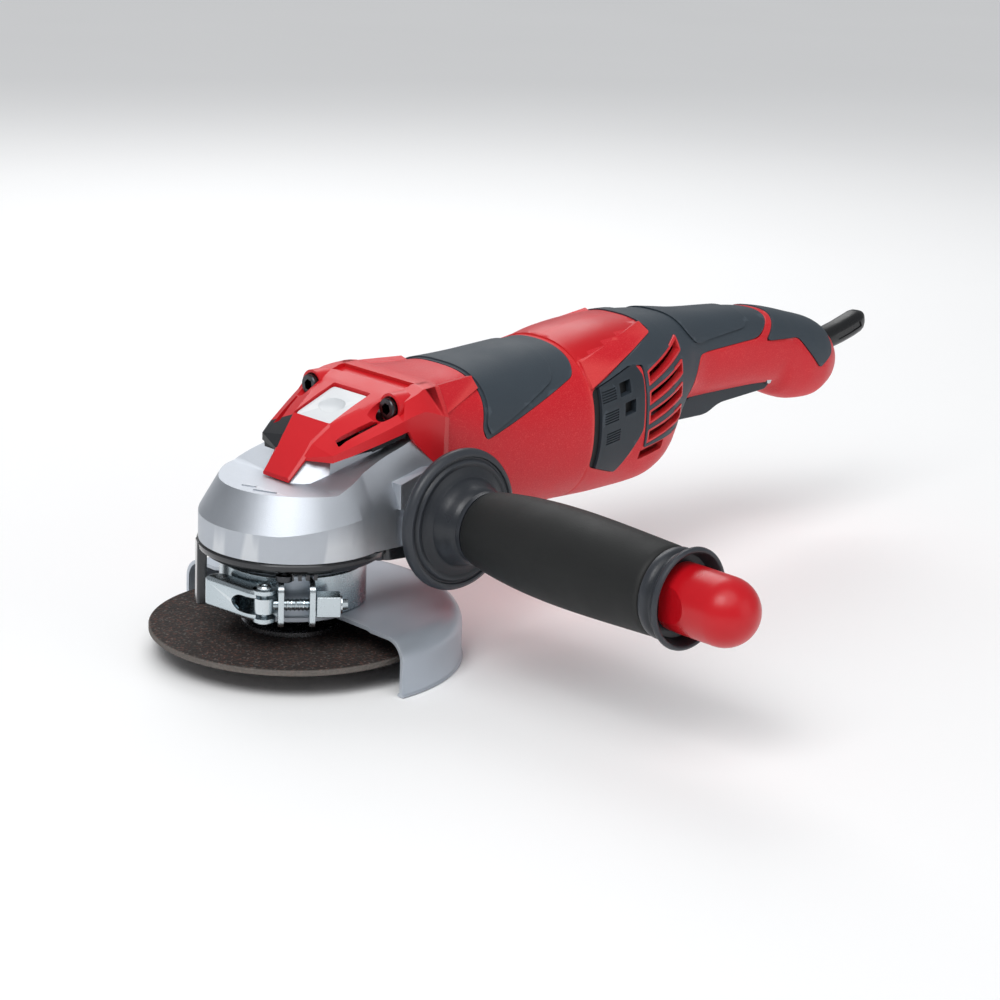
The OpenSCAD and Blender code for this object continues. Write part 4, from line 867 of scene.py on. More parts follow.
        rivet = lathe("lever_pin", [
            (0, CLAMP_Z - 7.8), (2.2, CLAMP_Z - 7.8), (3, CLAMP_Z - 7.2), (3, CLAMP_Z - 6.6), (1.7,
                CLAMP_Z - 6.6),
            (1.7, CLAMP_Z + 6.6), (3, CLAMP_Z + 6.6), (3, CLAMP_Z + 7.2), (2.4, CLAMP_Z + 7.8), (1.3,
                CLAMP_Z + 7.8),
            (1.0, CLAMP_Z + 7.2), (0, CLAMP_Z + 7.1)], 48)
        turned(rivet, CLAMP_TURN, (LEVER_AT[0], LEVER_AT[1], 0))
        soften(rivet, 0)
        finish(rivet, zinc, "guard", "zinc_steel", "lever_rivet")
        return {"FINISHED"}


# ---------- gear head ----------

class MakeBearingPlate(bpy.types.Operator):
    """Makes the black bearing plate with its stepped ring, guard catch and screws"""
    bl_idname = "grinder.bearing_plate"
    bl_label = "Bearing plate"

    def execute(self, context):
        black = look("black_coated_casting")
        foot, rim = low("bearing_plate", "z"), high("bearing_plate", "x")
        neck = NECK_R - 3.8
        ring = lathe("bearing_ring", [
            (11.5, foot), (neck - 0.6, foot), (neck, foot + 0.6), (neck, RING_Z), (rim - 3.4, RING_Z),
            (rim - 2.6, RING_Z + 0.5), (rim - 2.0, RING_Z + 1.7), (rim - 1.3, RING_Z + 2.0), (rim - 0.3,
                RING_Z + 2.2),
            (rim, RING_Z + 2.6), (rim, HEAD_Z - 0.9), (rim - 0.5, HEAD_Z - 0.35), (rim - 1.0, HEAD_Z - 0.02),
            (HEAD_R - 7.6, HEAD_Z - 0.02), (HEAD_R - 7.6, HEAD_Z + 1.8), (HEAD_R - 10.5, HEAD_Z + 1.8),
            (HEAD_R - 10.5, HEAD_Z - 1), (17.52, HEAD_Z - 1), (17.52, 34.4), (11.5, 34.4)], 144)
        spots = [(cos(radians(a)) * (HEAD_R - 3.9), sin(radians(a)) * (HEAD_R - 3.9), 0) for a in (45, 135,
            225, 315)]
        # Ears at the two rear corners, each with a hollow for the screw and one for casting
        for side in (-1, 1):
            ear = prism("ear", eased([(20, side * 18), (40, side * 17, 5), (43.5, side * 27, 5), (35,
                side * 35.6, 5),
                                      (19, side * 33, 4)], 1.0, 6), "z", RING_Z - 0.6, HEAD_Z - 0.02)
            cut(ear, rod("hollow", RING_Z - 2, RING_Z + 3, 3.2, at=(36.4, side * 27, 0), steps=32),
                rod("ring_room", RING_Z - 9, HEAD_Z + 2, rim - 1, steps=96))
            join(ring, ear)
        cut(ring, *[rod("way", RING_Z - 5, HEAD_Z + 2, 2.15, at=p, steps=24) for p in spots])
        # Catch that the guard's lever leans on, and a toothed stop under the ring
        catch = prism("catch", eased([(rim - 3.6, -4.4), (rim + 0.3, -4.0, 1.2), (rim + 0.3, 4.0, 1.2),
            (rim - 3.6, 4.4)], 0.6),
                      "z", foot + 0.5, HEAD_Z - 0.5)
        turned(catch, 149)
        stops = []
        for k in range(5):
            tooth = block("tooth", (rim - 5.6, -0.7, RING_Z - 2.2), (2.4, 1.4, 2.6))
            stops.append(turned(tooth, CLAMP_TURN - 8 + 5 * k))
        soften(ring, 0)
        soften(catch, 0.5, 2)
        together(ring, catch, *stops)
        finish(ring, black, "machine", "black_plate", "bearing_plate")
        pattern = screw_pattern("plate_screw", 2.0, 12.4, 3.4, 2.6, "z")
        screws = at_points("ring_screws", [(x, y, RING_Z) for x, y, _ in spots], pattern,
            look("black_oxide_steel"))
        finish(screws, None, "machine", "black_steel", "plate_screws")
        return {"FINISHED"}


def crease_z(x):
    """Height of the crease round the cast head."""
    rows = [(-40, 57.7), (-28, 57.7), (-14, 60.0), (-2, 61.6), (12, 62.6), (22, 63.2), (36, 64.2), (60, 65.2)]
    for (ax, az), (bx, bz) in zip(rows, rows[1:]):
        if x <= bx:
            return az + (bz - az) * max(0.0, x - ax) / (bx - ax)
    return rows[-1][1]


def lean_in(x):
    """How far the wall above the crease comes in for each millimetre it rises."""
    rows = [(-40, 0.56), (-20, 0.56), (0, 0.46), (20, 0.37), (32, 0.24), (60, 0.2)]
    for (ax, a), (bx, b) in zip(rows, rows[1:]):
        if x <= bx:
            return a + (b - a) * max(0.0, x - ax) / (bx - ax)
    return rows[-1][1]


def roof_z(x):
    """Height of the head's roof."""
    return FLAT_Z + max(0.0, (x + 5) * 0.41)


def cast_body():
    """Outer form of the head: an upright wall, a crease, a leaning wall and a roof that rises to the rear."""
    plan = []
    for k in range(33):
        a = radians(180 - k * 108.5 / 32)
        plan.append((HEAD_R * cos(a), HEAD_R * sin(a), cos(a), sin(a)))
    for x, half in ((17, 36.2), (22, 36.3), (30, 36.6), (38, 36.8), (NECK_X, 37.0)):
        plan.append((x, half, 0.0, 1.0))
    rows = []
    for x, y, nx, ny in plan:
        z1 = crease_z(x)
        column = [(x, y, HEAD_Z), (x, y, z1)]
        for part in (0.5, 1.0):
            z = z1 + (roof_z(x) - z1) * part
            inwards = lean_in(x) * (z - z1)
            column.append((x - nx * inwards, y - ny * inwards, z if part < 1 else roof_z(x - nx * inwards)))
        rows.append(column)
    right = [[(x, -y, z) for x, y, z in column] for column in rows[1:]]
    columns = list(reversed(rows)) + right
    points = [p for column in columns for p in column]
    high_row, count = 4, len(columns)
    faces = [(i * high_row + j, (i + 1) * high_row + j, (i + 1) * high_row + j + 1, i * high_row + j + 1)
             for i in range(count - 1) for j in range(high_row - 1)]
    for j in (0, high_row - 1):
        for i in range(count // 2):
            k = count - 1 - i
            ring = [i, i + 1, k - 1, k]
            faces.append(tuple(dict.fromkeys(v * high_row + j for v in ring)))
    faces.append(tuple([j for j in range(high_row)] + [(count - 1) * high_row + j for j in reversed(range(high_row))]))
    return solid("cast_head", points, faces)


class MakeGearHead(bpy.types.Operator):
    """Makes the die-cast gear head with its sockets for the side handle"""
    bl_idname = "grinder.gear_head"
    bl_label = "Gear head"

    def execute(self, context):
        head = cast_body()
        # The block under the red cover widens and rises towards the rear
        foot = [(-12, -7.4), (-8, -13), (2.5, -17.4), (26, -25.4), (NECK_X, -25.4)]
        crown = [(-1.8, -7.0, 80.4), (3, -11, 80.4), (4.5, -16.5, 80.4), (26, -24, 84.4), (NECK_X, -24, 88.6)]
        low_ring = [(x, y, 68) for x, y in foot] + [(x, -y, 68) for x, y in reversed(foot)]
        top_ring = crown + [(x, -y, z) for x, y, z in reversed(crown)]
        join(head, stack("ramp", [low_ring, top_ring]))
        out, boss_front = high("gear_head", "y"), 22.4
        for side in (-1, 1):
            outline = [(boss_front + 0.4, 62.6), (boss_front, 73), (36.7, 77), (44, 77), (48, 73.4),
                (NECK_X, 73.4),
                       (NECK_X, 46.9), (boss_front + 4, 46.9), (boss_front + 4, 62.6)]
            join(head, prism("boss", outline, "y", side * 29, side * out))
        flange = prism("rear_flange", eased([(-31, MOTOR_Z - 8), (-30, 100), (-26, 104.7), (26, 104.7),
            (30, 100),
                                             (31, MOTOR_Z - 8)], 1.0), "x", NECK_X - 8, NECK_X)
        join(head, flange)
        for side in (-1, 1):
            join(head, rod("screw_post", 30.5, NECK_X, 4.8, "x", (0, side * 24, 100.3)))
        ways = [rod("gear_chamber", HEAD_Z - 1, 63.9, HEAD_R - 7.5, steps=96),
                lathe("gear_cone", [(0, 63.8), (HEAD_R - 7.5, 63.8), (HEAD_R - 14.5, 69.1), (0, 69.1)], 96),
                prism("pinion_room", [(-12.6, 58.5), (-12.6, MOTOR_Z + 6), (-8, MOTOR_Z + 11.9), (8,
                    MOTOR_Z + 11.9),
                                      (12.6, MOTOR_Z + 6), (12.6, 58.5)], "x", 13.5, 33.2),
                rod("bearing_way", 33, NECK_X + 1, 14.02, "x", (0, 0, MOTOR_Z), 72),
                rod("bush_way", 64, 69.6, 7.02, steps=64),
                rod("pin_way", 63, 105, 2.06, at=(9.5, -9.5, 0)),
                rod("spring_way", 78.2, 105, 4.1, at=(9.5, -9.5, 0))]
        for side in (-1, 1):
            ways.append(rod("socket", side * (out + 1), side * (out - 11.5), 4.02, "y", (SIDE_X, 0, SIDE_Z)))
            ways.append(rod("top_way", 20, NECK_X + 1, 2.7, "x", (0, side * 24, 100.3)))
            ways.append(rod("low_way", 26, NECK_X + 1, 2.7, "x", (0, side * 24, 52)))
            ways.append(rod("low_seat", 24, 30.5, 4.6, "x", (0, side * 24, 52)))
            arch = eased([(25.5, 45), (29.5, 50.2, 3), (39.5, 50.8, 3), (45.5, 45)], 0.5, 6)
            ways.append(prism("arch", arch, "y", side * 22, side * 60))
            # Seat of the small screw in the side of the head
            ways.append(rod("screw_seat", side * 33, side * 40, 2.4, "y", (34, 0, 46.9), 24))
        cut(head, *ways)
        # Two raised dashes on the nose
        dash = []
        for x0, y0, x1, y1 in ((-25.2, 1.6, -22.4, -3.8), (-25.6, -6.1, -21.6, -15.2)):
            long = hypot(x1 - x0, y1 - y0)
            nx, ny = (y1 - y0) / long * 0.35, -(x1 - x0) / long * 0.35
            dash.append(prism("dash", [(x0 - nx, y0 - ny), (x1 - nx, y1 - ny), (x1 + nx, y1 + ny),
                (x0 + nx, y0 + ny)],
                              "z", FLAT_Z - 1, FLAT_Z + 0.45))
        join(head, *dash)
        soften(head, size("cast_edge"), 3, 24)
        finish(head, look("cast_aluminium"), "machine", "cast_head", "gear_head")
        return {"FINISHED"}


COVER_ROWS = [
    (-9.6, 8.0, 72.2, 8.0, 72.9, 8.0, 73.3, 7.4, 74.0),
    (-2.2, 9.3, 80.4, 9.5, 81.6, 8.4, 82.2, 8.0, 82.8),
    (1.0, 22.0, 81.6, 22.0, 84.6, 9.2, 86.6, 8.3, 87.6),
    (8.0, 25.2, 83.9, 25.4, 87.8, 11.8, 93.2, 10.9, 94.3),
    (20.0, 29.5, 88.3, 30.0, 93.0, 17.5, 99.0, 15.4, 99.8),
    (28.0, 32.0, 91.2, 32.6, 96.6, 21.0, 102.4, 17.4, 103.0),
    (31.0, 32.5, 92.2, 33.2, 97.8, 29.5, 103.5, 20.0, 104.4),
    (38.4, 33.2, 80.0, 33.6, 99.3, 29.0, 105.7, 17.0, 107.2),
    (42.0, 33.8, 76.0, 34.1, 98.4, 27.8, 106.6, 24.0, 107.6),
    (48.6, 34.0, 73.0, 34.4, 96.0, 27.6, 107.0, 24.0, 107.9)]


def cover_ring(row, side=0.0, up=0.0, foot=None):
    """A section of the gear cover, drawn in from the sides and from the top."""
    x, y0, z0, y1, z1, y2, z2, y3, z3 = row
    half = [(y0 - side, foot if foot is not None else z0), (y1 - side, z1 - up * 0.5),
            (y2 - side * 0.9, z2 - up), (y3 - side * 0.6, z3 - up)]
    return [(x, y, z) for y, z in half] + [(x, -y, z) for y, z in reversed(half)]


class MakeGearCover(bpy.types.Operator):
    """Makes the red cover over the gear head, with its nose, screw turrets and side slots"""
    bl_idname = "grinder.gear_cover"
    bl_label = "Gear cover"

    def execute(self, context):
        hood = stack("gear_hood", [cover_ring(row) for row in COVER_ROWS])
        inner = [between(COVER_ROWS, 3.4)] + [row for row in COVER_ROWS if row[0] > 4]
        inner.append((52.0,) + tuple(COVER_ROWS[-1][1:]))
        cut(hood, stack("hollow", [cover_ring(row, 2.2, 2.4, 60.0) for row in inner]))
        # Lower edge: along the wing, down the cheek, and the slanted seam behind it
        below = prism("below", [(1.2, 70), (1.2, 81.7), (8, 84.0), (29.1, 91.6), (31.8, 89.3), (43.4, 78.0),
                                (47.0, 76.6), (47.0, 60), (1.2, 60)], "y", -60, 60)
        behind = prism("behind", [(41.4, 112), (46.4, 95), (48.2, 80), (48.2, 60), (70, 60), (70, 112)],
            "y", -60, 60)
        step = prism("step", [(36.4, 104.7), (49, 106.9), (49, 120), (36.4, 120)], "y", -21.6, 21.6)
        opening = prism("button_way", eased([(8.0, -11.3), (29.2, -11.3), (29.2, 11.3), (8.0, 11.3)], 0.9,
            3), "z", 80, 120)
        cut(hood, below, behind, opening, step)
        # Turrets round the two screws
        for side in (-1, 1):
            turret = rod("turret", 28.2, 36, 6.1, "x", (0, side * 24.0, 100.2), 48)
            join(hood, turret)
        ways = []
        for side in (-1, 1):
            ways.append(rod("screw_way", 20, 34.9, 4.85, "x", (0, side * 24, 100.3), 48))
            a, b = Vector((5.7, side * 19, 88.7)), Vector((22, side * 25.2, 96.6))
            along = (b - a).normalized()
            out = Vector((0, side * 0.36, 0.93)).normalized()
            across = along.cross(out).normalized()
            corners = []
            for lift in (-5, 5):
                corners.append([a + out * lift - across * 1.8, b + out * lift - across * 1.3,
                                b + out * lift + across * 1.3, a + out * lift + across * 1.8])
            ways.append(stack("slot", corners))
        cut(hood, *ways)
        soften(hood, size("mould_edge"), 2, 16)
        for finish_name in ("red_smooth_abs", "black_moulded_nylon"):
            hood.data.materials.append(look(finish_name))
        for face in hood.data.polygons:
            x, y, z = (c / MM for c in face.center)
            # The front of the left wing's tip is painted black: painted shade for the shadowed underside of the wing
            face.material_index = 1 if x < 7.5 and y > 9.6 and z < 92 else 0
        finish(hood, None, "machine", "red_gloss", "gear_cover")

        # Black sheet under the cover's wings and nose: painted shade that fills the shadowed gap between them and the
        # head
        shade_fill_rows = [(x, y0 - 1.4, z0 - 2.6, y0 - 1.0, z0 - 0.05, y2 - 2.0, z0 + 0.6, y3 - 2.0, z0 + 0.8)
                     for x, y0, z0, _, _, y2, z2, y3, z3 in COVER_ROWS[2:7]]
        black_fill = stack("cover_seal", [cover_ring(row) for row in shade_fill_rows])
        cut(black_fill, prism("button_way", [(7.0, -12.4), (30.2, -12.4), (30.2, 12.4), (7.0, 12.4)], "z", 60, 120),
            prism("shaft_room", [(3.0, -16), (34, -16), (34, 16), (3, 16)], "z", 60, 120),
            prism("wing_room", [(0, -40), (17, -40), (17, 0), (2, 0), (2, 12), (0, 12)], "z", 60, 120))
        soften(black_fill, 0.3, 1)
        finish(black_fill, look("black_moulded_nylon"), "machine", "black_plastic")
        return {"FINISHED"}


class MakeLockButton(bpy.types.Operator):
    """Makes the spindle lock button with its finger dimple"""
    bl_idname = "grinder.lock_button"
    bl_label = "Lock button"

    def execute(self, context):
        x0, x1, half, thick = 8.9, 28.4, 10.7, 3.0
        rise = (102.1 - 93.9) / (x1 - x0)
        ring = eased([(x0, -half), (x1, -half), (x1, half), (x0, half)], 1.8, 6)
        top = [(x, y, 93.9 + rise * (x - x0)) for x, y in ring]
        edge = [(x, y, z - 0.5) for x, y, z in [(x + (18.6 - x) * -0.02, y * 1.02, z) for x, y, z in top]]
        skirt = [(x, y, z - thick) for x, y, z in top]
        cap = stack("lock_cap", [skirt, edge, top])
        centre = Vector((18.6, 0, 93.9 + rise * (18.6 - x0)))
        normal = Vector((-rise, 0, 1)).normalized()
        ball = lathe("dimple", [(0, -8)] + arc_points(0, 0, 8, -80, 80, 22) + [(0, 8)], 64)
        ball.data.transform(Matrix.Translation((centre + normal * 0.7) * MM) @ Matrix.Rotation(-atan(rise),
            4, "Y")
                            @ Matrix.Diagonal((0.62, 0.9, 0.26, 1)))
        cut(cap, ball)
        join(cap, rod("stem", low("lock_button", "z"), 93, 1.6, at=(10.8, -9.1, 0)))
        soften(cap, 0.35, 3, 26)
        finish(cap, look("light_grey_moulding"), "lock", "light_plastic", "lock_button")
        return {"FINISHED"}


class MakeNeckScrews(bpy.types.Operator):
    """Makes the four black socket screws between the gear head and the motor housing"""
    bl_idname = "grinder.neck_screws"
    bl_label = "Neck screws"

    def execute(self, context):
        seat_x, tip = 30.5, high("neck_screws", "x")
        pattern = screw_pattern("neck_screw", 2.5, tip - seat_x, 4.3, 4.4)
        places = [(seat_x, side * 24, z) for side in (-1, 1) for z in (100.3, 52.0)]
        screws = at_points("neck_bolts", places, pattern, look("black_oxide_steel"))
        finish(screws, None, "machine", "black_steel", "neck_screws")
        return {"FINISHED"}


# ---------- motor housing ----------

HOUSING = [
    (NECK_X, 33.0, MOTOR_Z + 33.6, MOTOR_Z - 27.0, 4.4),
    (NECK_X + 10, 33.2, MOTOR_Z + 33.4, MOTOR_Z - 28.5, 3.4),
    (NECK_X + 26, 34.0, MOTOR_Z + 34.0, MOTOR_Z - 31.0, 2.7),
    (NECK_X + 50, 34.8, MOTOR_Z + 35.6, MOTOR_Z - 32.6, 2.3),
    (REAR_X, 35.0, MOTOR_Z + 37.4, MOTOR_Z - 32.8, 2.3)]
SADDLE = [(73, MOTOR_Z + 8.6, 1.0), (71, MOTOR_Z + 13, 1.5), (74, MOTOR_Z + 24, 6), (77, MOTOR_Z + 60, 0),
          (130.6, MOTOR_Z + 60, 0), (130.6, MOTOR_Z + 32, 6), (127, MOTOR_Z + 26.6, 2.5)]
SADDLE_PAD = [(74.6, MOTOR_Z + 10.6, 1.0), (72.8, MOTOR_Z + 14.6, 1.5), (75.6, MOTOR_Z + 24, 6),
              (78.6, MOTOR_Z + 61, 0), (119, MOTOR_Z + 61, 0), (119, MOTOR_Z + 33, 5), (114,
                  MOTOR_Z + 26.4, 2.5)]
MOTOR_BORE = 29.3


def housing_core(inset):
    """The housing's form drawn in by inset and run on past both ends, to hollow a piece with."""
    past = 3
    return hull_form("core", [(HOUSING[0][0] - past,) + HOUSING[0][1:]] + HOUSING[1:-1]
                     + [(REAR_X + past,) + HOUSING[-1][1:]], inset)


class MakeMotorHousing(bpy.types.Operator):
    """Makes the motor housing and its soft saddle"""
    bl_idname = "grinder.motor_housing"
    bl_label = "Motor housing"

    def execute(self, context):
        red = look("red_textured_abs")
        case = hull_form("motor_case", HOUSING)
        # Raised shoulders that carry the cover's edges on
        shoulder = stack("shoulder", [
            [(NECK_X, 16, 104), (NECK_X, 26.2, 106.7), (NECK_X, 32.8, 96.4), (NECK_X, 20, 88)],
            [(NECK_X + 27, 10, 104), (NECK_X + 27, 20.8, 106.6), (NECK_X + 26, 25.0, 103.2), (NECK_X + 27,
                14, 94)]])
        join(case, shoulder, mirrored(shoulder))
        # Lip that meets the gear cover's slanted rear edge
        lip_rows = [COVER_ROWS[-3], COVER_ROWS[-2], COVER_ROWS[-1],
                    (52.5, 33.2, 71.0, 33.4, 94.6, 27.0, 106.2, 23.6, 107.4)]
        lip = stack("neck_lip", [cover_ring(row) for row in lip_rows])
        inner = [(37.0,) + tuple(COVER_ROWS[-3][1:])] + lip_rows[1:-1] + [(54.0,) + tuple(lip_rows[-1][1:])]
        cut(lip, stack("hollow", [cover_ring(row, 2.2, 2.4, 60.0) for row in inner]))
        keep(lip, prism("behind", [(41.9, 112), (46.9, 95), (48.7, 80), (48.7, 74.4), (NECK_X + 0.6, 74.4),
                                   (NECK_X + 0.6, 112)], "y", -60, 60))
        cut(case, rod("front_bore", NECK_X - 1, NECK_X + 3, 27, "x", (0, 0, MOTOR_Z), 96),
            rod("motor_bore", NECK_X + 2.9, REAR_X + 1, MOTOR_BORE, "x", (0, 0, MOTOR_Z), 96))
        recess = strip_of(pushed([c[:2] for c in SADDLE], 0.35), "recess", corner=2.5)
        cut(recess, housing_core(1.3))
        cut(case, recess)
        screws = [rod("way", NECK_X - 1, NECK_X + 12, 2.52, "x", (0, side * 24, z))
                  for side in (-1, 1) for z in (100.3, 52.0)]
        cut(case, *screws)
        join(case, lip)
        soften(case, size("mould_edge") * 0.7, 2, 30)
        finish(case, red, "machine", "red_textured", "motor_housing")

        step = size("grip_step")
        saddle = keep(hull_form("soft_saddle", HOUSING, -0.95), strip_of(SADDLE, "outline"))
        cut(saddle, housing_core(1.29))
        # The zone behind and below the pad lies lower
        around = strip_of(pushed([c[:2] for c in SADDLE], 3.0), "around", 61)
        cut(around, housing_core(-0.95 + step),
            strip_of(SADDLE_PAD, "pad", 80))
        cut(saddle, around)
        soften(saddle, 0.4, 2, 26)
        finish(saddle, look("slate_soft_elastomer"), "machine", "slate_soft", "grip_saddle")
        return {"FINISHED"}


# ---------- rear shells ----------

M = MOTOR_Z
REAR = [
    (133, 34.6, M + 38.2, M - 33, 2.3), (145.6, 35, M + 40.6, M - 33, 2.4), (165.4, 35, M + 42.2, M - 32.4,
        2.5),
    (177.1, 34.2, M + 42.3, M - 31.5, 2.6), (188.8, 31.5, M + 42, M - 27.4, 2.7),
    (196, 28.5, M + 41.6, M - 18.6, 2.7), (204.1, 25, M + 40.8, M - 8, 2.7), (212.2, 21.6, M + 39.8,
        M - 1.5, 2.7),
    (223, 19.5, M + 38.4, M - 1.5, 2.7), (256, 19, M + 36, M - 1.5, 2.7), (276, 19.2, M + 33.2, M - 2.5, 2.6),
    (283, 19.4, M + 31.8, M - 8.5, 2.5), (295, 19.3, M + 28.6, M - 12.4, 2.4), (307, 18, M + 25.2,
        M - 13.2, 2.3),
    (317, 14.6, M + 20, M - 10.6, 2.2), (324, 9.8, M + 13.4, M - 6, 2.1), (327, 5, M + 7.5, M - 1.5, 2)]
HOOD_GRIP = [(178.6, M + 60, 0), (179.6, M + 38.6, 1), (156.4, M + 29.6, 0), (136, M + 20.6, 0), (157,
    M + 27.4, 0),
             (165.5, M + 27.0, 1), (166.5, M - 9.5, 1), (199.6, M - 4, 2),
             (209, M + 1.2, 2), (215, M + 22.8, 6), (257, M + 24.6, 5), (269, M + 34, 5), (269, M + 60, 0)]
HOOD_PAD = [(199, M + 61, 0), (204, M + 34, 4), (212, M + 27.6, 5), (248, M + 30.4, 4), (252, M + 34, 3),
            (249, M + 61, 0)]
TAIL_GRIP = [(273, M + 60, 0), (273, M + 34, 5), (262, M + 22.6, 3), (285, M + 21.4, 3), (302, M + 4.6, 1.5),
             (313, M + 10, 3), (318, M + 60, 0)]
PANEL = [(134.8, M + 19.6, 0.6), (161, M + 28.0, 1.2), (164.3, M + 22.8, 1.5), (164.3, M - 1.1, 3), (161.2,
    M - 5.6, 3),
         (151.8, M - 18.8, 1.2), (134.8, M - 13.4, 0.6)]
SHELL_SCREWS = [(169.0, M - 24, 24.0), (208.6, M + 31, 16.3), (235.0, M + 29.5, 12.7), (294.76, M - 4, 14.7)]
SLEEVE_AT, SLEEVE_TILT = (328.0, 0.0, M + 12.2), 80.0


def vent_outlines():
    """Side outlines of the five slanting air slots."""
    slots = []
    for i in range(5):
        long = 25.0 if i < 4 else 15.0
        rise = long * (0.4 - 0.05 * i)
        x0, z0 = REAR_X + 35.5 - (3.5 if i == 4 else 0), M + 19.2 - i * 8.6
        slots.append([(x0, z0), (x0 + long, z0 + rise), (x0 + long, z0 + rise + 4.2), (x0, z0 + 4.2)])
    return slots


def rear_form(name, inset, step=2.5):
    """The hood and rear handle as one solid, drawn in by inset."""
    rows = [(REAR[0][0],) + REAR[0][1:]] + REAR[1:]
    return hull_form(name, rows, inset, step, 72, 1.4)


def rear_core(inset):
    """The same form made long enough at the front to cut with."""
    rows = [(REAR[0][0] - 4,) + REAR[0][1:]] + REAR[1:]
    return hull_form("core", rows, inset, 2.5, 72, 1.4)


def sleeve_rod(start, end, radius):
    """A round tool along the cord sleeve's axis."""
    tool = rod("sleeve_way", start, end, radius)
    tool.data.transform(Matrix.Translation(Vector(SLEEVE_AT) * MM) @ Matrix.Rotation(radians(SLEEVE_TILT),
        4, "Y"))
    return tool


class MakeRearShells(bpy.types.Operator):
    """Makes the two halves of the hood and rear handle, with their air slots and screws"""
    bl_idname = "grinder.rear_shells"
    bl_label = "Rear shells"

    def execute(self, context):
        body = rear_form("hood_body", 0.0)
        # Flat bands that slant down both sides of the hood
        band = stack("band", [
            [(134, 20.2, 105.2), (134, 25.9, 105.1), (134, 33.1, 95.0), (134, 22, 90)],
            [(156, 14.8, 109.0), (156, 21.3, 110.6), (156, 29.0, 103.9), (156, 18, 96)],
            [(178, 8.0, 112.5), (178, 16.3, 115.6), (178, 23.4, 111.8), (178, 12, 104)]])
        join(body, band, mirrored(band))
        hollow = rear_core(2.6)
        wall = block("cross_wall", (163, -60, 0), (3, 120, 200))
        cut(hollow, wall)
        bosses = [rod("boss", -60, 60, 4, "y", (x, 0, z), 32) for x, z, _ in SHELL_SCREWS]
        cut(hollow, *bosses)
        cut(body, hollow)
        cut(body, rod("bearing_way", REAR_X, 188, 13.52, "x", (0, 0, M), 72),
            rod("motor_way", REAR_X - 1, REAR_X + 3, MOTOR_BORE, "x", (0, 0, M), 96))
        # Recesses under the soft grips and the side covers
        for outline, depth in ((HOOD_GRIP, 1.3), (TAIL_GRIP, 1.3), (PANEL, 3.6)):
            recess = prism("recess", eased([c for c in pushed([c[:2] for c in outline], 0.3)], 2.5), "y",
                -60, 60)
            cut(recess, rear_core(depth))
            cut(body, recess)
        # Rims round the air slots, then the slots
        rims = []
        for outline in vent_outlines()[:4]:
            rim = prism("rim", eased(pushed(outline, 1.0), 0.6), "y", -60, 60)
            rims.append(keep(rim, rear_core(-0.35)))
        for rim in rims:
            cut(rim, rear_core(2.8))
        join(body, *rims)
        cut(body, *[prism("vent", eased(outline, 0.5), "y", -60, 60) for outline in vent_outlines()])
        cut(body, block("paddle_way", (203, -13, GRIP_LOW - 18), (71.9, 26, 24)))
        for x, z, half in SHELL_SCREWS:
            cut(body, rod("screw_way", -10, 60, 1.6, "y", (x, 0, z), 24), rod("head_way", half - 2, 60,
                3.4, "y", (x, 0, z), 32))
        cut(body, rod("pin_way", -14.5, 14.5, 1.52, "y", (GRIP_X + 48, 0, GRIP_LOW + 3.2), 32),
            sleeve_rod(-17, 14, 5.5), sleeve_rod(-17, -9.6, 7.3))
        soften(body, size("mould_edge") * 0.5, 1, 34)
        smooth, grained = look("red_smooth_abs"), look("red_textured_abs")
        for side, node, name in ((-1, "rear_shell_right", "right_shell"), (1, "rear_shell_left",
            "left_shell")):
            half = twin(body, name)
            keep(half, block("side", (0, 0.03 if side > 0 else -100, -50), (600, 99.97, 300)))
            half.data.materials.clear()
            half.data.materials.append(grained)
            half.data.materials.append(smooth)
            for face in half.data.polygons:
                x, y, z = (c / MM for c in face.center)
                # The top of the hood, between its two slanting bands, is polished
                if x < 181.5 and z > M + 30 and face.normal.z > 0.2 and abs(y) < 22.6 - (x - 142) * 0.22:
                    face.material_index = 1
            half.data.shade_smooth()
            half.data.set_sharp_from_angle(angle=radians(34))
            finish(half, None, "machine", "red_textured", node)
        bpy.data.objects.remove(body)

        screws = []
        for x, z, half in SHELL_SCREWS:
            pattern = lathe("shell_bolt", [(0, -9), (1.3, -9), (1.58, -8.4), (1.58, half - 1.98), (3.1,
                half - 1.98),
                                           (3.1, half - 0.5), (2.6, half), (0, half)], 32, "y", (x, 0, z))
            cross = [block("cross", (x - 2, half - 0.9, z - 0.4), (4, 2, 0.8)),
                     block("cross", (x - 0.4, half - 0.9, z - 2), (0.8, 2, 4))]
            cut(pattern, *cross)
            screws.append(pattern)
        together(screws[0], *screws[1:])
        screws[0].name = "shell_bolts"
        soften(screws[0], 0)
        finish(screws[0], look("black_oxide_steel"), "machine", "black_steel", "shell_screws")
        return {"FINISHED"}


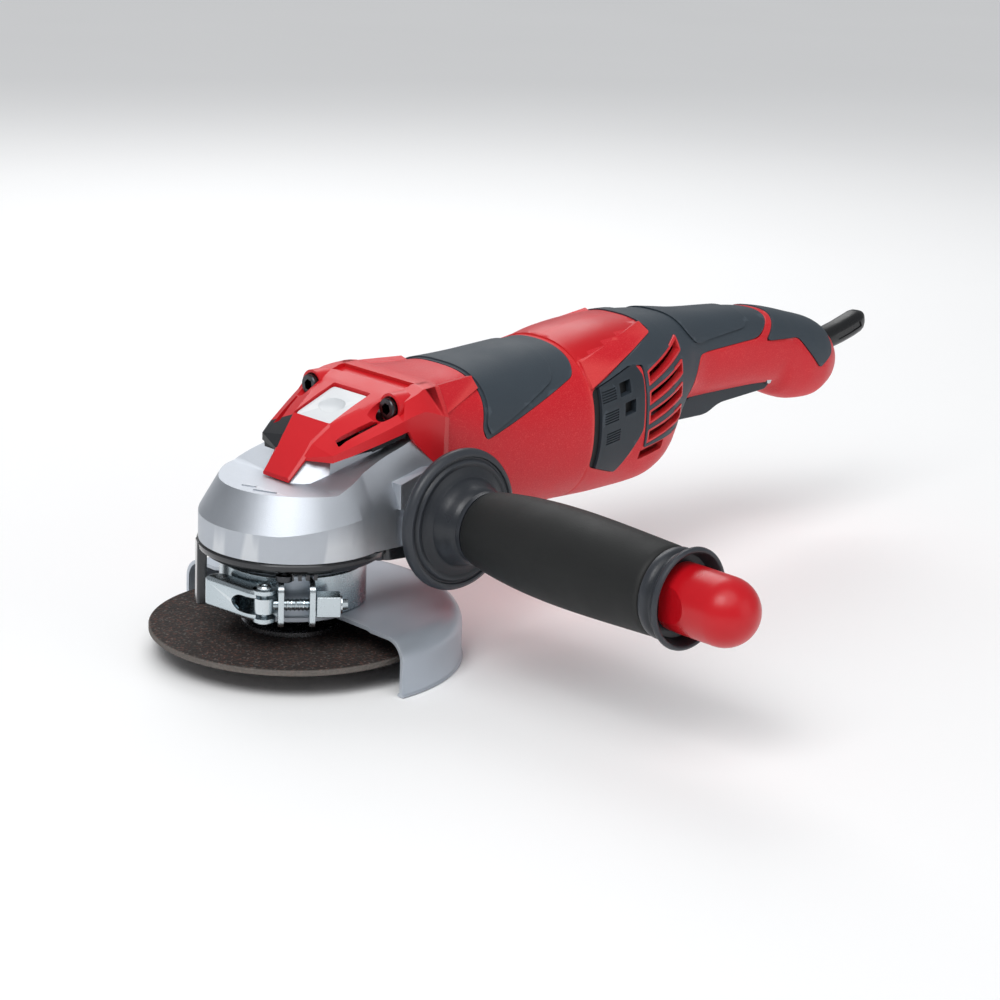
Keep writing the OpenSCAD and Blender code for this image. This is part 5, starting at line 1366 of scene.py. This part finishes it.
class MakeSideCovers(bpy.types.Operator):
    """Makes the covers over the brush gear, each with two air windows, closed louvres and a black strip along the
    front edge
    """
    bl_idname = "grinder.side_covers"
    bl_label = "Side covers"

    def execute(self, context):
        plate = keep(rear_form("right_cover", -0.6), prism("outline", eased(PANEL, 2.0), "y", -80, -18))
        cut(plate, rear_core(2.4))
        # Room along the cover's front edge for the black strip
        cut(plate, prism("seal_room", [(120, 0), (138.4, 0), (138.4, 160), (120, 160)], "y", -80, 0))
        windows = []
        for x, z in ((REAR_X + 16.6, M + 15.4), (REAR_X + 19.2, M + 6.8)):
            window = [(x, z), (x + 6.6, z + 1.2), (x + 6.6, z + 7), (x, z + 5.8)]
            windows.append(prism("window", eased(window, 0.5), "y", -80, -18))
        # Closed shutters beside and under the windows
        for x, z in ((REAR_X + 6.0, M + 13.8), (REAR_X + 7.2, M + 4.6), (REAR_X + 8.6, M - 4.4)):
            for k in range(5):
                line = [(x, z + 1.1 * k), (x + 8.2, z + 1.3 + 1.1 * k), (x + 8.2, z + 1.9 + 1.1 * k), (x,
                    z + 0.6 + 1.1 * k)]
                windows.append(cut(prism("shutter", line, "y", -80, -18), rear_core(0.0)))
        cut(plate, *windows)
        left = mirrored(plate, "left_cover")
        for piece, node in ((plate, "side_panel_right"), (left, "side_panel_left")):
            soften(piece, 0.5, 2, 28)
            finish(piece, look("slate_hard_nylon"), "machine", "slate_hard", node)
        # A black strip along each cover's front edge
        black_fill = keep(rear_form("right_seal", 0.7), prism("outline", eased(PANEL, 2.0), "y", -80, -18))
        room = prism("cover_room", [(138.2, 0), (200, 0), (200, 160), (138.2, 160)], "y", -80, 0)
        cut(room, rear_core(2.45))
        cut(black_fill, rear_core(3.4), room)
        other = mirrored(black_fill, "left_seal")
        for piece in (black_fill, other):
            soften(piece, 0.3, 1)
            finish(piece, look("black_moulded_nylon"), "machine", "black_plastic")
        return {"FINISHED"}


class MakeRearGrips(bpy.types.Operator):
    """Makes the soft grips of the hood and of the tail"""
    bl_idname = "grinder.rear_grips"
    bl_label = "Rear grips"

    def execute(self, context):
        slate, step = look("slate_soft_elastomer"), size("grip_step")
        grip = keep(rear_form("hood_grip", -0.55), strip_of(HOOD_GRIP, "outline", 80))
        cut(grip, rear_core(1.29))
        around = prism("around", [(186, M - 20), (275, M - 20), (275, M + 60), (186, M + 60)], "y", -81, 81)
        cut(around, rear_core(-0.55 + step), strip_of(HOOD_PAD, "pad", 90))
        cut(grip, around)
        cut(grip, *[prism("vent", eased(pushed(outline, 1.15), 0.7), "y", -60,
            60) for outline in vent_outlines()[:4]])
        cut(grip, block("paddle_way", (203, -13, GRIP_LOW - 18), (71.9, 26, 24)))
        cut(grip, *[rod("head_way", 0, 60, 3.6, "y", (x, 0, z), 32) for x, z, _ in SHELL_SCREWS[1:3]])
        soften(grip, 0.4, 2, 26)
        finish(grip, slate, "machine", "slate_soft", "rear_grip")

        tail = keep(rear_form("tail_cap", -0.55), strip_of(TAIL_GRIP, "outline", 80))
        cut(tail, rear_core(1.29), sleeve_rod(-30, 14, 6.1))
        soften(tail, 0.4, 2, 26)
        finish(tail, slate, "machine", "slate_soft", "tail_grip")
        return {"FINISHED"}


class MakePaddle(bpy.types.Operator):
    """Makes the paddle switch under the rear handle"""
    bl_idname = "grinder.paddle"
    bl_label = "Paddle"

    def execute(self, context):
        x, g, half, top = GRIP_X, GRIP_LOW, 12.2, high("paddle", "z")
        outline = eased([(x - 15.4, g - 7.4, 1.5), (x + 8, g - 7.4, 4), (x + 16, g - 3.4, 4), (x + 48,
            g - 1.2, 1),
                         (x + 51.2, g + 1.4, 1), (x + 49.8, g + 5.6, 1), (x + 46, top, 1), (x + 8, top, 1),
                         (x - 6, g + 1.6, 2), (x - 14.6, g - 3.6, 1)], 1.5)
        lever = prism("paddle_lever", outline, "y", -half, half)
        room = [(x - 4, g + 1), (x - 8, g - 5.2), (x + 7, g - 5.2), (x + 15, g - 1.2), (x + 42, g + 0.6),
                (x + 42, top - 2), (x + 9, top - 2)]
        cut(lever, prism("room", room, "y", -half + 2.2, half - 2.2),
            rod("pin_way", -20, 20, 1.56, "y", (x + 48, 0, g + 3.2)))
        # Three finger ridges across the underside
        ridges = [rod("ridge", -half + 1.6, half - 1.6, 0.55, "y", (x - 9 + 4.2 * k, 0, g - 7.35),
            16) for k in range(3)]
        soften(lever, 0.9, 3, 30)
        for ridge in ridges:
            ridge.data.shade_smooth()
        together(lever, *ridges)
        finish(lever, look("slate_hard_nylon"), "paddle", "slate_hard", "paddle")
        return {"FINISHED"}


class MakeCordSleeve(bpy.types.Operator):
    """Makes the black sleeve where the cord leaves the tail"""
    bl_idname = "grinder.cord_sleeve"
    bl_label = "Cord sleeve"

    def execute(self, context):
        rings = []
        rows = [(-15, 6.8), (-10.4, 6.8), (-10, 6.4), (-9.8, 5.2), (0, 5.2), (8, 5.3), (16, 5.4), (21, 5.3),
                (23.2, 4.9), (24.4, 4.2), (25, 3.9)]
        for h, r in rows:
            square = 2.0 if h < 0 else 2.9
            ring = []
            for k in range(48):
                a = 2 * pi * k / 48
                c, s = cos(a), sin(a)
                ring.append((r * (1 if c > 0 else -1) * abs(c) ** (2 / square) - max(0.0, h) ** 2 * 0.0036,
                             r * (1 if s > 0 else -1) * abs(s) ** (2 / square), h))
            rings.append(ring)
        tube = stack("sleeve", rings)
        cut(tube, stack("bore", [[(3.6 * cos(k * pi / 16) - max(0.0, h) ** 2 * 0.0036,
            3.6 * sin(k * pi / 16), h)
                                  for k in range(32)] for h in (-16, 0, 6, 12, 18, 22, 26)]))
        grooves = []
        for side in (-1, 1):
            recess = prism("recess", eased([(-1.7, 2.5), (1.6, 3.5), (1.0, 12), (-0.2, 21), (-3.2, 20),
                (-2.2, 12)], 0.8), "y",
                           side * 4.75, side * 7)
            grooves.append(recess)
        cut(tube, *grooves)
        soften(tube, 0.3, 2, 30)
        tube.data.transform(Matrix.Translation(Vector(SLEEVE_AT) * MM) @ Matrix.Rotation(radians(SLEEVE_TILT), 4, "Y"))
        finish(tube, look("black_gloss_rubber"), "machine", "black_rubber", "cord_sleeve")
        return {"FINISHED"}


# ---------- side handle ----------

class MakeSideHandle(bpy.types.Operator):
    """Makes the side handle: stud, flanged core, soft sleeve and end collar"""
    bl_idname = "grinder.side_handle"
    bl_label = "Side handle"

    def execute(self, context):
        at = (SIDE_X, 0, SIDE_Z)
        boss = high("gear_head", "y")
        z0, rim = boss + 8, (high("handle_core", "z") - low("handle_core", "z")) / 2
        end = -low("handle_core", "y")
        e = end - 11
        y1 = z0 + 19
        stud = lathe("handle_stud_bolt", [
            (0, boss - 10), (3.5, boss - 10), (4, boss - 9.5), (4, boss + 0.02), (7.2, boss + 0.02), (8.0,
                boss + 0.8),
            (8.0, boss + 6.6), (8.6, boss + 7.2), (8.6, z0 - 0.01), (5.0, z0 - 0.01), (5.0, z0 + 20), (0,
                z0 + 20)],
            64, "-y", at)
        soften(stud, 0)
        finish(stud, look("zinc_plated_steel"), "machine", "zinc_steel", "handle_stud")

        core = lathe("handle_frame", [
            (5.03, z0), (rim - 3.4, z0), (rim - 1.8, z0 + 0.3), (rim - 0.6, z0 + 1.2), (rim, z0 + 2.6),
            (rim - 0.1, z0 + 4.0), (rim - 0.8, z0 + 5.2), (rim - 2.0, z0 + 5.9), (rim - 2.9, z0 + 5.8),
            (rim - 3.3, z0 + 5.2), (rim - 3.9, z0 + 5.2), (rim - 4.3, z0 + 5.9), (rim - 5.0, z0 + 6.5),
            (rim - 6.0, z0 + 6.4), (rim - 6.8, z0 + 6.1), (rim - 8.6, z0 + 6.6), (19.0, z0 + 7.4),
            (18.2, z0 + 8.1), (17.8, z0 + 9.6), (17.0, z0 + 11.4), (16.2, z0 + 13.2), (15.8, z0 + 15.0),
            (15.2, z0 + 16.2), (14.6, y1 - 2), (14.4, y1), (10, y1), (10, e), (16.6, e), (17.3, e + 0.5),
            (17.7, e + 1.6), (17.7, e + 3.2), (17.2, e + 4.2), (16.7, e + 4.8), (16.6, e + 5.6), (16.9,
                e + 6.4),
            (18.2, e + 7.4), (19.1, e + 8.4), (19.6, e + 9.4), (19.5, e + 10.2), (19.0, e + 10.8), (18.4,
                e + 11),
            (17.8, e + 10.7), (17.2, e + 9.6), (16.4, e + 7), (15.8, e + 5.2), (15.2, e + 5.02), (6.2,
                e + 5.02),
            (6.2, e - 40), (0, e - 40), (0, z0 + 20.02), (5.03, z0 + 20.02)], 128, "-y", at)
        soften(core, 0, angle=24)
        finish(core, look("charcoal_satin_nylon"), "machine", "charcoal_core", "handle_core")

        r, a = 18.6, y1
        sleeve = [(10.03, a + 0.4), (r - 4.6, a + 0.4), (r - 3.9, a + 1.0), (r - 3.3, a + 2.4)]
        for i in range(25):
            u = i / 24
            sleeve.append((r - 3 + 2 * u + (3 - u) * sin(pi * u ** 0.85), a + 4 + u * (e - a - 7)))
        sleeve += [(r - 1.1, e - 2.0), (r - 1.4, e - 1.0), (r - 2.0, e - 0.4), (10.03, e - 0.4)]
        grip = lathe("handle_sleeve", sleeve, 128, "-y", at)
        soften(grip, 0, angle=40)
        finish(grip, look("charcoal_elastomer"), "machine", "charcoal_grip", "handle_grip")
        return {"FINISHED"}


class MakeKey(bpy.types.Operator):
    """Makes the red cap of the pin key kept in the side handle"""
    bl_idname = "grinder.key"
    bl_label = "Pin key"

    def execute(self, context):
        at = (SIDE_X, 0, SIDE_Z)
        start = -high("key_cap", "y")
        tip = -low("key_cap", "y")
        r = 13.2
        dome = tip - r
        cap = lathe("key_knob", [(4.02, start + 4), (4.02, start), (r - 0.5, start), (r, start + 0.5), (r,
            dome)]
                    + [(max(0.0, r * cos(radians(k * 7.5))),
                        dome + r * sin(radians(k * 7.5))) for k in range(1, 13)]
                    + [(0, start + 4)], 96, "-y", at)
        flats = []
        for side in (-1, 1):
            flat = rod("flat", -40, 40, 26, "z", (SIDE_X + side * (r + 24.0), -(start + 3), SIDE_Z), 96)
            flats.append(flat)
        cut(cap, *flats)
        soften(cap, 0.7, 3, 18)
        finish(cap, look("red_polished_abs"), "key", "red_textured", "key_cap")
        return {"FINISHED"}


# ---------- inner works ----------

INNER = {
    "ground_steel": ("spindle", "spindle_bearing", "front_bearing", "rear_bearing", "lock_pin",
        "armature_shaft",
                     "paddle_pin", "key_fork"),
    "dark_turned_steel": ("crown_gear", "pinion"),
    "black_oxide_steel": ("pinion_nut",),
    "sintered_bronze": ("spindle_bush",),
    "drawn_spring_wire": ("lock_spring", "brush_springs", "paddle_spring"),
    "natural_nylon": ("fan",),
    "black_moulded_nylon": ("air_baffle", "switch_body", "cord_clamp"),
    "black_gloss_rubber": ("bearing_boot",),
    "stacked_silicon_steel": ("armature_core", "stator_core"),
    "enamelled_copper": ("armature_windings", "field_coils", "commutator"),
    "folded_brass": ("brush_holders",),
    "pressed_carbon": ("brushes",),
    "red_smooth_abs": ("switch_plunger",)}


class DressInnerWorks(bpy.types.Operator):
    """Gives the gears, the motor, the switch and the other inner pieces their finishes"""
    bl_idname = "grinder.inner_works"
    bl_label = "Inner works"

    def execute(self, context):
        for finish_name, nodes in INNER.items():
            for node in nodes:
                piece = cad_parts[node]
                piece.data.materials.clear()
                piece.data.materials.append(look(finish_name))
        return {"FINISHED"}


# ---------- stage ----------

class SetStage(bpy.types.Operator):
    """Makes the pale floor, the soft studio light and the camera"""
    bl_idname = "grinder.stage"
    bl_label = "Stage"

    def execute(self, context):
        scene = context.scene
        half = context.scene.grinder_sizes.floor_side / 2
        ground = CAD_BOX[0][2] - 0.0002
        mesh = bpy.data.meshes.new("floor")
        mesh.from_pydata([(-half, -half, ground), (half, -half, ground), (half, half, ground), (-half,
            half, ground)],
                         [], [(0, 1, 2, 3)])
        floor = bpy.data.objects.new("floor", mesh)
        scene.collection.objects.link(floor)
        material, tree, shader, place = new_material("white_paper_sweep", Roughness=0.9, IOR=1.5)
        cloud = add(tree, "ShaderNodeTexNoise", {"Vector": place}, {"Scale": 3.0, "Detail": 2.0})
        shade = add(tree, "ShaderNodeMix", {0: cloud.outputs[0]},
                    {6: (*linear("#FBFBFB"), 1), 7: (*linear("#FFFFFF"), 1)}, data_type="RGBA")
        tree.links.new(shade.outputs[2], shader.inputs["Base Color"])
        mesh.materials.append(material)

        world = bpy.data.worlds.new("studio")
        world.use_nodes = True
        tree = world.node_tree
        dome = tree.nodes["Background"]
        dome.inputs[0].default_value = (*linear("#F4F7FB"), 1)
        dome.inputs[1].default_value = 0.32
        paper = add(tree, "ShaderNodeBackground", None, {0: (1, 1, 1, 1), 1: 1.0})
        seen = add(tree, "ShaderNodeLightPath")
        both = add(tree, "ShaderNodeMixShader", {0: seen.outputs["Is Camera Ray"], 1: dome.outputs[0],
                                                 2: paper.outputs[0]})
        tree.links.new(both.outputs[0], tree.nodes["World Output"].inputs[0])
        scene.world = world
        scene.view_settings.view_transform = "Standard"

        middle_point = Vector((0.12, -0.04, 0.06))
        lamps = (("key_light", (-0.75, -0.35, 1.05), 0.6, 6.0), ("fill_light", (0.5, -1.3, 0.5), 0.9, 2.0),
                 ("back_light", (0.6, 0.8, 0.9), 0.8, 5.0))
        for name, spot, side, power in lamps:
            lamp = bpy.data.lights.new(name, "AREA")
            lamp.shape, lamp.size, lamp.energy = "SQUARE", side, power
            holder = bpy.data.objects.new(name, lamp)
            holder.location = spot
            holder.rotation_euler = (Vector(spot) - middle_point).to_track_quat("Z", "Y").to_euler()
            scene.collection.objects.link(holder)

        sky = bpy.data.lights.new("sky_light", "SUN")
        sky.energy, sky.angle = 1.05, radians(50)
        holder = bpy.data.objects.new("sky_light", sky)
        holder.rotation_euler = (radians(22), radians(-18), 0)
        scene.collection.objects.link(holder)

        lens = bpy.data.cameras.new("camera")
        lens.sensor_width, lens.lens = 36.0, 93.564
        camera = bpy.data.objects.new("camera", lens)
        turn, rise, roll = radians(-44.27), radians(16.34), radians(2.33)
        back = Vector((sin(turn) * cos(rise), -cos(turn) * cos(rise), sin(rise)))
        right = Vector((cos(turn), sin(turn), 0))
        up = back.cross(right)
        x_axis = right * cos(roll) + up * sin(roll)
        y_axis = up * cos(roll) - right * sin(roll)
        camera.matrix_world = Matrix((
            (x_axis.x, y_axis.x, back.x, -0.63388), (x_axis.y, y_axis.y, back.y, -0.76754),
            (x_axis.z, y_axis.z, back.z, 0.35599), (0, 0, 0, 1)))
        scene.collection.objects.link(camera)
        scene.camera = camera
        return {"FINISHED"}


PIECES = (SetStage, MakeDisc, MakeGuard, MakeClamp, MakeBearingPlate, MakeGearHead, MakeGearCover,
    MakeLockButton,
          MakeNeckScrews, MakeMotorHousing, MakeRearShells, MakeSideCovers, MakeRearGrips, MakePaddle,
              MakeCordSleeve,
          MakeSideHandle, MakeKey, DressInnerWorks)


class GrinderPanel(bpy.types.Panel):
    """Lists the sizes, the colours and the pieces of the grinder"""
    bl_idname = "VIEW3D_PT_grinder"
    bl_label = "Angle grinder"
    bl_space_type = "VIEW_3D"
    bl_region_type = "UI"
    bl_category = "Grinder"

    def draw(self, context):
        for group in (context.scene.grinder_sizes, context.scene.grinder_colours):
            column = self.layout.column()
            for name in group.__annotations__:
                column.prop(group, name)
        column = self.layout.column()
        for piece in PIECES:
            column.operator(piece.bl_idname)


CLASSES = (GrinderSizes, GrinderColours) + PIECES + (GrinderPanel,)


def register():
    for each in CLASSES:
        bpy.utils.register_class(each)
    bpy.types.Scene.grinder_sizes = bpy.props.PointerProperty(type=GrinderSizes)
    bpy.types.Scene.grinder_colours = bpy.props.PointerProperty(type=GrinderColours)


def unregister():
    del bpy.types.Scene.grinder_colours
    del bpy.types.Scene.grinder_sizes
    for each in reversed(CLASSES):
        bpy.utils.unregister_class(each)


def main():
    """Makes every piece in order."""
    register()
    for piece in PIECES:
        group, name = piece.bl_idname.split(".")
        getattr(getattr(bpy.ops, group), name)()


if __name__ == "__main__":
    main()
